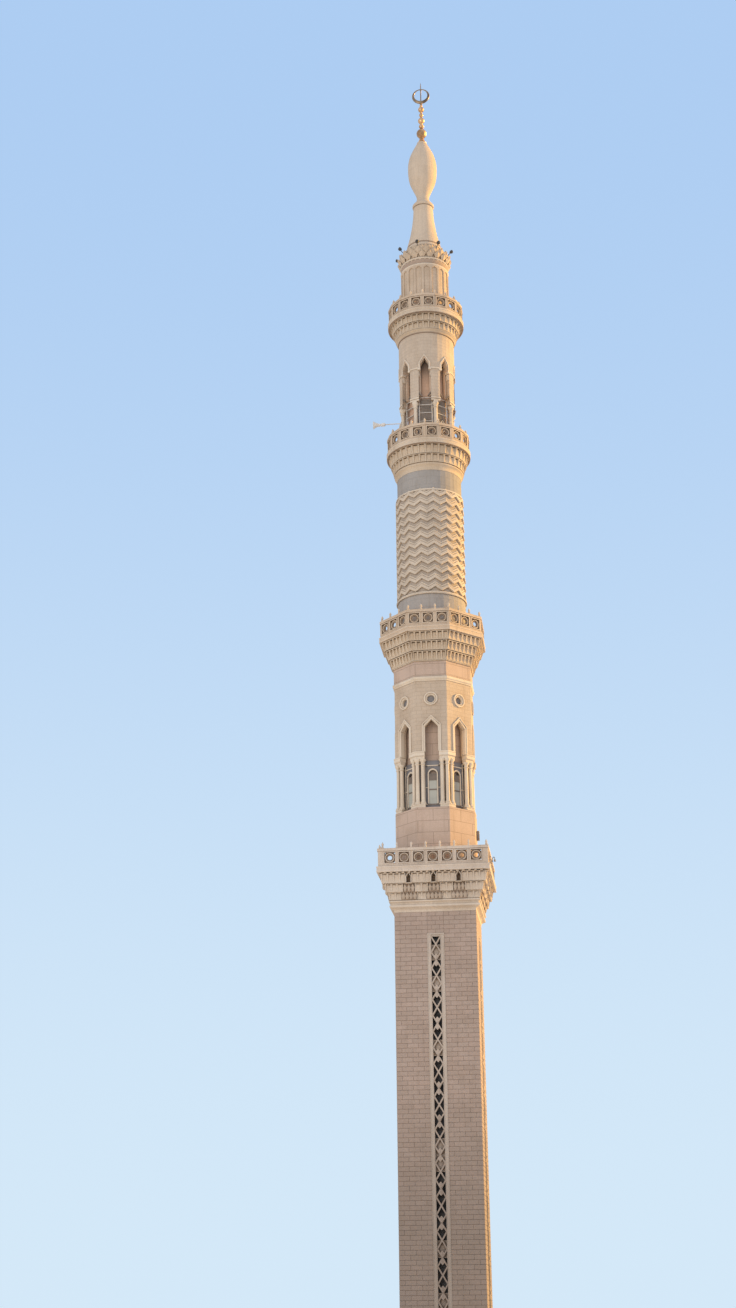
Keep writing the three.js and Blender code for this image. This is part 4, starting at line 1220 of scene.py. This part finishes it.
def crown():
    rows = [round_shading(turned([
        (1.2, 84.95), (1.9, 84.95), (1.93, 85.05), (2.02, 85.3), (2.06, 85.45), (1.98, 85.55), (1.9, 85.8),
        (1.76, 85.95), (1.64, 86.1), (1.56, 86.4), (1.5, 86.45), (1.2, 86.45), (1.2, 84.95),
    ], ROUND_STEPS), 30)]
    for wide, tall, radius, low, first, angle in (
        (0.62, 0.66, 1.95, 84.96, 0, 26), (0.66, 0.74, 2.0, 85.2, 9, 17), (0.6, 0.66, 1.86, 85.58, 0, 8),
        (0.5, 0.5, 1.64, 85.95, 9, 0),
    ):
        places = level_places(20, radius, low, first=first)
        rows.append(leaning(leaf(wide, tall, 0.12, 0.12, 0.45), angle, places))
    standing(joined(rows), "leaf_crown_carving", CARVED, "warm_stone", "leaf_crown")


crown()


def floodlights():
    """Eight small round floodlights that stand off the crown's rim on short arms."""
    can = round_shading(turned_to_front([
        (0.0, 0.1), (0.07, 0.1), (0.13, 0.04), (0.15, -0.05), (0.165, -0.09), (0.14, -0.09), (0.13, -0.07),
        (0.0, -0.065),
    ], 18), 40)
    lens = turned_to_front([(0.0, -0.085), (0.13, -0.075), (0.135, -0.06), (0.0, -0.055)], 18)
    for part in (can, lens):
        moved(part, lean(50) @ about_axis(180))
    arm = moved(block(-0.025, 0.025, 0.0, 0.6, -0.03, 0.03), lean(-38))
    places = level_places(8, 2.4, 86.2, first=-9.4)
    lamp = joined([can, soften(arm, 0.01)])
    standing(repeated(lamp, places), "crown_floodlights", BLACK_ENAMEL, "black_paint")
    standing(repeated(round_shading(lens), places), "floodlight_lenses", LAMP_GLASS, "dark_glass")


floodlights()


# Spire and finial

def flowing(points, steps=3):
    """A smooth curve through the points of a profile."""
    curve = []
    last = len(points) - 1
    for i in range(last):
        before, start, end, after = (Vector(points[max(0, min(last, i + k))]) for k in (-1, 0, 1, 2))
        for step in range(steps):
            t = step / steps
            curve.append(tuple(
                0.5 * (2 * start + (end - before) * t + (2 * before - 5 * start + 4 * end - after) * t ** 2
                       + (3 * start - before - 3 * end + after) * t ** 3)
            ))
    return curve + [tuple(points[-1])]


# Thin brown lines of painted shadow: at the foot of the cone, under the round fascias, and at the foot of the
# upper corbel
painted_shadow_lines = [
    turned([(inner, low), (outer, low), (outer, high), (inner, high), (inner, low)], ROUND_STEPS)
    for inner, outer, low, high in (
        (1.4, 1.444, 86.8, 86.9), (3.04, 3.135, 79.04, 79.09), (3.29, 3.385, 66.97, 67.02),
        (2.2, 2.35, 77.53, 77.6),
    )
]
standing(round_shading(joined(painted_shadow_lines)), "painted_shadow_lines", SHADOW_LINE, "warm_stone")

cone_profile = [
    (0.0, 86.45), (1.54, 86.45), (1.57, 86.5), (1.56, 86.6), (1.5, 86.66), (1.47, 86.72), (1.43, 86.8),
    (1.43, 86.9),
    *flowing([
        (1.45, 86.92), (1.38, 87.2), (1.24, 87.75), (1.12, 88.3), (1.01, 88.95), (0.92, 89.6), (0.86, 90.3),
        (0.83, 90.86),
    ]),
    (0.78, 90.88), (0.78, 90.92), (0.88, 90.95), (0.92, 91.03), (0.92, 91.13), (0.88, 91.22), (0.76, 91.35),
    (0.0, 91.35),
]
bulb_profile = [
    (0.0, 91.35), (0.7, 91.35), (0.68, 91.43),
    *flowing([
        (0.6, 91.52), (0.55, 91.75), (0.53, 91.98), (0.59, 92.25), (0.73, 92.6), (0.9, 93.0), (1.06, 93.4),
        (1.16, 93.8), (1.22, 94.3), (1.24, 94.85), (1.205, 95.45), (1.06, 96.1), (0.84, 96.65), (0.62, 97.1),
        (0.44, 97.48),
    ]),
    (0.42, 97.56), (0.0, 97.56),
]
for node, profile in (("spire_cone", cone_profile), ("spire_bulb", bulb_profile)):
    standing(round_shading(turned(profile, 64)), f"{node}_turned", SPIRE, "warm_stone", node)


# The height and radius of each bead, from the lowest up
BEADS = [(98.6, 0.44), (99.36, 0.22), (99.94, 0.29), (100.53, 0.18), (101.12, 0.26)]


def finial():
    profile = [
        (0.0, 97.5), (0.42, 97.5), (0.43, 97.57), (0.34, 97.66), (0.27, 97.84), (0.2, 98.0), (0.14, 98.1),
    ]
    for height, radius in BEADS:
        for step in range(7):
            turn = math.radians(-70 + 140 * step / 6)
            profile.append((radius * math.cos(turn), height + radius * math.sin(turn)))
        profile.append((0.1, height + radius + 0.04))
    profile += [(0.13, 101.52), (0.09, 101.6), (0.07, 101.74), (0.0, 101.75)]
    stem = round_shading(turned(profile, 32), 50)
    standing(stem, "finial_beads", GILT, "gilt", "finial_stem")


def crescent():
    """A ring that is thick at its foot and thin at its tips, with the mast through it."""
    centre, reach, ring_radius, thick, segments = 102.52, 0.77, 0.66, 0.11, 48
    ring = added(bpy.ops.mesh.primitive_torus_add, location=(0, 0, 0), rotation=(math.pi / 2, 0, 0),
                 major_segments=segments, minor_segments=10, major_radius=ring_radius * M,
                 minor_radius=thick * M)
    edit(ring)
    for segment in range(segments):
        turn = FULL_TURN * segment / segments
        height = math.sin(turn)
        middle = Vector((math.cos(turn), 0, height)) * ring_radius * M
        size = 0.36 + 0.95 * ((1 - height) / 2) ** 0.8

        def here(place, normal):
            near = (place - middle).length < 0.14 * M
            apart = math.atan2(place.z, place.x) - math.atan2(middle.z, middle.x)
            return near and abs(apart) % FULL_TURN < 0.02
        if pick("VERT", here):
            stretch(size, size * 0.75, size, about=tuple(middle))
            outward = (reach - thick * size - ring_radius) * M
            move(outward * math.cos(turn), 0, outward * height)
    ring = moved(leave(), at(z=centre))
    mast = turned([
        (0.0, 101.7), (0.1, 101.7), (0.12, 101.78), (0.05, 101.9), (0.045, 103.1), (0.09, 103.2),
        (0.04, 103.3), (0.035, 103.7), (0.0, 104.0),
    ], 14)
    whole = round_shading(joined([ring, mast]), 50)
    standing(whole, "crescent_ring", AGED_GILT, "gilt", "finial_crescent")


finial()
crescent()


# The shaft: courses of cut blocks on every face, beside the tall lattice

SHAFT_HALF = 2.96
COURSE = 0.325
LATTICE_COURSES = (3, 85)
SHAFT_COURSES = 90
BLOCK_GAP = 0.011
BED_SQUEEZE = 0.96
BLOCK_PROUD = 0.022
FRAME_EDGE = 0.6
FRAME_INNER = 0.34


def course_of_blocks(joints, low):
    """One course: a strip split at its joints, each block with a small chamfer and a back of its own."""
    draw_line([(x * M, 0, low * M) for x in joints])
    pull(z=COURSE * M)
    bpy.ops.mesh.select_all(action="SELECT")
    bpy.ops.mesh.normals_make_consistent(inside=False)
    if bmesh.from_edit_mesh(bpy.context.object.data).faces[:][0].normal.y > 0:
        bpy.ops.mesh.flip_normals()
    pick_all("EDGE")
    bpy.ops.mesh.edge_split()
    pick_all("FACE")
    inset(BLOCK_GAP / 2 * M, each=True)
    stretch(1, 1, BED_SQUEEZE, about=(0, 0, (low + COURSE / 2) * M))
    pull(y=-BLOCK_PROUD * 0.5 * M)
    inset(0.012 * M, BLOCK_PROUD * 0.5 * M, each=True)
    pick_open_edges()
    pull(y=0.01 * M)
    bpy.ops.mesh.fill_holes(sides=0)
    bpy.ops.mesh.select_all(action="SELECT")
    bpy.ops.mesh.normals_make_consistent(inside=False)
    return leave()


def strip_of_courses(left, right, first, rows, even, odd):
    """Courses in running bond from left to right: even and odd give the blocks' share of the width."""
    strips = []
    for row, shares in ((0, even), (1, odd)):
        joints = [left + (right - left) * share for share in shares]
        course = course_of_blocks(joints, (first + row) * COURSE)
        strips.append(shaped(course, "ARRAY", count=(rows - row + 1) // 2, use_relative_offset=False,
                             use_constant_offset=True, constant_offset_displace=(0, 0, 2 * COURSE * M)))
    return joined(strips)


def shaft_cladding():
    foot, head = LATTICE_COURSES
    edge = SHAFT_HALF + 0.012
    wide = ((0, 1 / 3, 2 / 3, 1), (0, 1 / 6, 1 / 2, 5 / 6, 1))
    small = ((0, 0.5, 1), (0, 0.25, 0.75, 1))
    face = joined([
        strip_of_courses(FRAME_EDGE, edge, 0, SHAFT_COURSES, *wide),
        strip_of_courses(-edge, -FRAME_EDGE, 0, SHAFT_COURSES, *wide),
        strip_of_courses(-FRAME_EDGE, FRAME_EDGE, 0, foot, *small),
        strip_of_courses(-FRAME_EDGE, FRAME_EDGE, head, SHAFT_COURSES - head, *small),
    ])
    moved(face, at(y=-(SHAFT_HALF + 0.002)))
    for quarter, side in enumerate(SIDES):
        wall = copied(face, about_axis(90 * quarter))
        standing(wall, f"shaft_blocks_{side}", SHAFT_BLOCKS, "shaft_stone")
    bpy.data.objects.remove(face)


shaft_cladding()


LATTICE_FRONT = SHAFT_HALF + 0.03
LATTICE_LOW, LATTICE_TOP, LATTICE_CELLS = 1.38, 27.42, 23
PITCH = (LATTICE_TOP - LATTICE_LOW) / LATTICE_CELLS


def spade():
    """A leaf that fills the narrow end of a lozenge: heart-shaped, with a point."""
    wide, tall, thick = 0.5 * M, 0.42 * M, 0.09 * M
    piece = upright_face(-wide / 2, wide / 2, 0, tall)
    bpy.ops.mesh.subdivide(number_cuts=3)
    for level, reach in ((0.0, 0.05), (0.25, 0.42), (0.5, 0.8), (0.75, 0.42), (1.0, 0.06)):
        pick("VERT", lambda place, normal: abs(place.z - level * tall) < TINY)
        stretch(reach, 1, 1)
    bpy.ops.mesh.select_all(action="SELECT")
    pull(y=-thick)
    pick("VERT", lambda place, normal: abs(place.x) < 0.03 * M and place.y < -thick / 2)
    move(y=-0.03 * M)
    outward_faces()
    return leave()


def lattice_leaves():
    places = []
    for cell in range(1, LATTICE_CELLS, 2):
        crossing = LATTICE_LOW + PITCH * (cell + 0.5)
        places.append(at(0, 0.06 - LATTICE_FRONT, crossing + 0.04))
        places.append(at(0, 0.06 - LATTICE_FRONT, crossing - 0.04) @ swing(180))
    standing(all_round(repeated(spade(), places), 4), "lattice_leaves", SHAFT_FRAME, "pale_stone")


def lattice_edges():
    """A broad flat frame round the lattice, with a raised bead on both its edges, a sill and a head."""
    reach, back = FRAME_EDGE + 0.02, 0.04 - LATTICE_FRONT
    sill, head = (course * COURSE for course in LATTICE_COURSES)
    bars = [
        block(-reach, reach, -(LATTICE_FRONT + 0.04), back, low, high)
        for low, high in ((sill, sill + 0.27), (head - 0.07, head + 0.03))
    ]
    for near, far, proud in (
        (FRAME_INNER, reach, 0.012), (FRAME_INNER, FRAME_INNER + 0.05, 0.035), (reach - 0.05, reach, 0.035),
    ):
        for left, right in ((-far, -near), (near, far)):
            bars.append(block(left, right, -(LATTICE_FRONT + proud), back, sill + 0.2, head - 0.02))
    standing(all_round(soften(joined(bars), 0.008), 4), "lattice_beads", SHAFT_FRAME, "pale_stone")


def lattice_backs():
    """Dark boards behind the lattice, with a pale board behind a few of its lozenges."""
    back = block(-0.4, 0.4, -2.5, -2.46, 1.3, 27.5)
    edit(back)
    pick("EDGE", lambda place, along: abs(along.z) > M)
    bpy.ops.mesh.subdivide(number_cuts=LATTICE_CELLS - 1)
    pick("FACE", lambda place, normal: normal.y < -0.9)
    inset(0.03 * M, -0.01 * M, each=True)
    standing(all_round(leave(), 4), "lattice_backs", BLACK_ENAMEL, "dark_panel")
    boards = []
    for cell in (1, 4, 9, 10, 16, 20, 22):
        foot = LATTICE_LOW + PITCH * (cell - 0.5)
        edit(block(-0.34, 0.34, -2.8, -2.76, foot, foot + PITCH))
        pick("FACE", lambda place, normal: normal.y < -0.9)
        inset(0.08 * M)
        inset(0.03 * M, -0.015 * M)
        boards.append(leave())
    standing(all_round(joined(boards), 4), "lattice_boards", SHAFT_FRAME, "pale_stone")


lattice_leaves()
lattice_edges()
lattice_backs()


# Fittings: the horn and its arm, the swan-neck lamp, the small loudspeaker

def tube(points, radius):
    """A round bar along a smooth route."""
    bpy.ops.curve.primitive_bezier_curve_add(location=(0, 0, 0))
    rod = bpy.context.object
    line = rod.data.splines[0]
    line.bezier_points.add(len(points) - 2)
    for knot, place in zip(line.bezier_points, points):
        knot.co = Vector(place) * M
        knot.handle_left_type = knot.handle_right_type = "AUTO"
    rod.data.bevel_depth = radius * M
    rod.data.bevel_resolution = 3
    rod.data.resolution_u = 8
    rod.data.use_fill_caps = True
    only(rod)
    bpy.ops.object.convert(target="MESH")
    return round_shading(bpy.context.object, 50)


def horn():
    """A thin flared bell with its driver, yoke and long arm, out over the parapet on the left."""
    low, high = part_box("horn_speaker")
    axis_y, axis_z = (low[1] + high[1]) / 2 / M, (low[2] + high[2]) / 2 / M
    mouth, start = low[0] / M, high[0] / M
    outer = [
        (0.07, 0.66), (0.085, 0.56), (0.12, 0.42), (0.17, 0.28), (0.24, 0.12), (0.325, 0.02), (0.33, 0.0),
    ]
    inner = [(radius - 0.018, depth) for radius, depth in reversed(outer)]
    section = outer + inner[:-1] + [(0.04, 0.6), (0.04, 0.66), (0.07, 0.66)]
    bell = spun([((mouth + depth) * M, 0, radius * M) for radius, depth in section], 28, axis=(1, 0, 0))
    driver = [(0.0, 0.98), (0.1, 0.98), (0.14, 0.93), (0.14, 0.72), (0.1, 0.66), (0.0, 0.64)]
    can = spun([((mouth + depth) * M, 0, radius * M) for radius, depth in driver], 20, axis=(1, 0, 0))
    arm = tube([(mouth + 0.9, 0, 0), ((mouth + start) / 2, 0, 0.0), (start - 0.01, 0, 0.0)], 0.04)
    yoke = tube([(mouth + 0.3, -0.2, -0.02), (mouth + 0.62, -0.2, -0.05), (mouth + 0.82, 0.0, -0.12),
                 (mouth + 0.62, 0.2, -0.05), (mouth + 0.3, 0.2, -0.02)], 0.018)
    clamp = soften(block(start - 0.06, start, -0.1, 0.1, -0.12, 0.12), 0.02)
    whole = joined([round_shading(bell, 40), round_shading(can, 40), arm, yoke, clamp])
    moved(whole, at(0, axis_y, axis_z))
    standing(whole, "horn_and_arm", WHITE_ENAMEL, "white_paint", "horn_speaker")


horn()


def swan_lamp():
    """A lamp on a curved neck, with a fixing plate on the rail's face."""
    low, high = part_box("balcony_lamp")
    face, reach = low[0] / M, high[0] / M
    foot, top = low[2] / M, high[2] / M
    neck = tube([(face + 0.045, 0, foot + 0.02), (face + 0.05, 0, foot + 0.14), (face + 0.13, 0, top - 0.04),
                 (reach - 0.13, 0, top - 0.045), (reach - 0.09, 0, top - 0.2)], 0.028)
    head = spun(in_model([
        (reach - 0.09, 0, top - 0.16), (reach - 0.12, 0, top - 0.17), (reach - 0.15, 0, top - 0.25),
        (reach - 0.175, 0, top - 0.36), (reach - 0.165, 0, top - 0.36), (reach - 0.14, 0, top - 0.27),
        (reach - 0.09, 0, top - 0.24),
    ]), 20, centre=((reach - 0.09) * M, 0, 0))
    plate = soften(block(face, face + 0.03, -0.07, 0.07, foot + 0.005, foot + 0.14), 0.008)
    standing(joined([neck, round_shading(head, 40), plate]), "swan_neck_lamp", GREY_ENAMEL, "grey_paint",
             "balcony_lamp")


swan_lamp()


def box_speaker():
    """The case keeps its size; its front is a sunk grille of slats in a rounded case."""
    low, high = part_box("plinth_speaker")
    case = soften(block_between(low, high), 0.025, segments=2)
    edit(case)
    pick("FACE", lambda place, normal: normal.x > 0.95 and place.x > high[0] - TINY)
    inset(0.03 * M)
    inset(0.006 * M, -0.02 * M)
    leave()
    slats = []
    for i in range(9):
        height = low[2] + (high[2] - low[2]) * (0.14 + 0.09 * i)
        slats.append(block_between((high[0] - 0.022 * M, low[1] + 0.05 * M, height - 0.012 * M),
                                   (high[0] - 0.006 * M, high[1] - 0.05 * M, height + 0.012 * M)))
    standing(joined([case, *slats]), "box_speaker", GREY_ENAMEL, "grey_paint", "plinth_speaker")


box_speaker()


# Camera, light and floor

HORIZON, ZENITH = (0.66, 0.81, 0.94, 1), (0.42, 0.61, 0.89, 1)


def sent_from(place, name, lamp, target=(0, 0, 0)):
    """Stands a lamp at the place, aimed from there at the target."""
    holder = bpy.data.objects.new(name, lamp)
    holder.location = place
    holder.rotation_euler = (Vector(place) - Vector(target)).to_track_quat("Z", "Y").to_euler()
    bpy.context.scene.collection.objects.link(holder)


def stage_light():
    """Low sun from the right, a wide warm fill from the front left, and light from a pale blue sky."""
    sun = bpy.data.lights.new("low_sun", "SUN")
    sun.energy, sun.angle, sun.color = 6.2, math.radians(9), (1.0, 0.565, 0.1)
    away = about_axis(112) @ lean(-14) @ Vector((0, -1, 0))
    sent_from(away * 20, "low_sun", sun)

    fill = bpy.data.lights.new("front_fill", "AREA")
    fill.energy, fill.size, fill.color = 700, 10, (1.0, 0.945, 0.865)
    sent_from((-7, -15, 6), "front_fill", fill, target=(0, 0, 4.5))

    world = bpy.data.worlds.new("pale_sky")
    bpy.context.scene.world = world
    world.use_nodes = True
    tree = world.node_tree
    light = feed(tree, tree.nodes["Background"], {"Color": (0.815, 0.832, 0.94, 1), "Strength": 0.84})
    level = upward_part(tree, add(tree, "TexCoord").outputs["Generated"])
    sky = mix_colours(tree, "MIX", ramp(tree, level, 0.0, 0.64), HORIZON, ZENITH)
    backdrop = add(tree, "Background", {"Color": sky})
    seen = add(tree, "LightPath").outputs["Is Camera Ray"]
    both = add(tree, "MixShader", {0: seen, 1: light.outputs[0], 2: backdrop.outputs[0]})
    feed(tree, tree.nodes["World Output"], {"Surface": both.outputs[0]})


def photograph_camera():
    """The photograph's view: eye height a sixtieth of the tower, far off, tilted up, a little turned."""
    turn, tilt, roll = math.radians(6.815), 0.349759, -0.008735
    forward = Vector((-math.sin(turn) * math.cos(tilt), math.cos(turn) * math.cos(tilt), math.sin(tilt)))
    side = forward.cross(Vector((0, 0, 1))).normalized()
    above = side.cross(forward)
    right = side * math.cos(roll) + above * math.sin(roll)
    top = above * math.cos(roll) - side * math.sin(roll)
    pose = Matrix((right, top, -forward)).transposed().to_4x4()
    pose.translation = Vector((1.079, -13.303, 0.165))
    # A focal length of 1815 pixels, for a picture that is 1308 pixels high
    lens = bpy.data.cameras.new("photograph")
    lens.sensor_width = 36
    lens.lens = 1815 / 1308 * lens.sensor_width
    camera = bpy.data.objects.new("photograph", lens)
    camera.matrix_world = pose
    bpy.context.scene.collection.objects.link(camera)
    bpy.context.scene.camera = camera


def pale_floor():
    floor = added(bpy.ops.mesh.primitive_circle_add, vertices=64, radius=14, fill_type="NGON",
                  location=(0, 0, -0.002))
    floor.name = "floor"
    material, tree, shader = blank("pale floor")
    clouds = noise(tree, on_part(tree), 1.5, 3.0)
    tint = mix_colours(tree, "MIX", clouds, (0.7, 0.7, 0.69, 1), (0.74, 0.74, 0.73, 1))
    feed(tree, shader, {"Base Color": tint, "Roughness": 0.85})
    floor.data.materials.append(material)


stage_light()
photograph_camera()
pale_floor()
bpy.context.scene.view_settings.view_transform = "Standard"
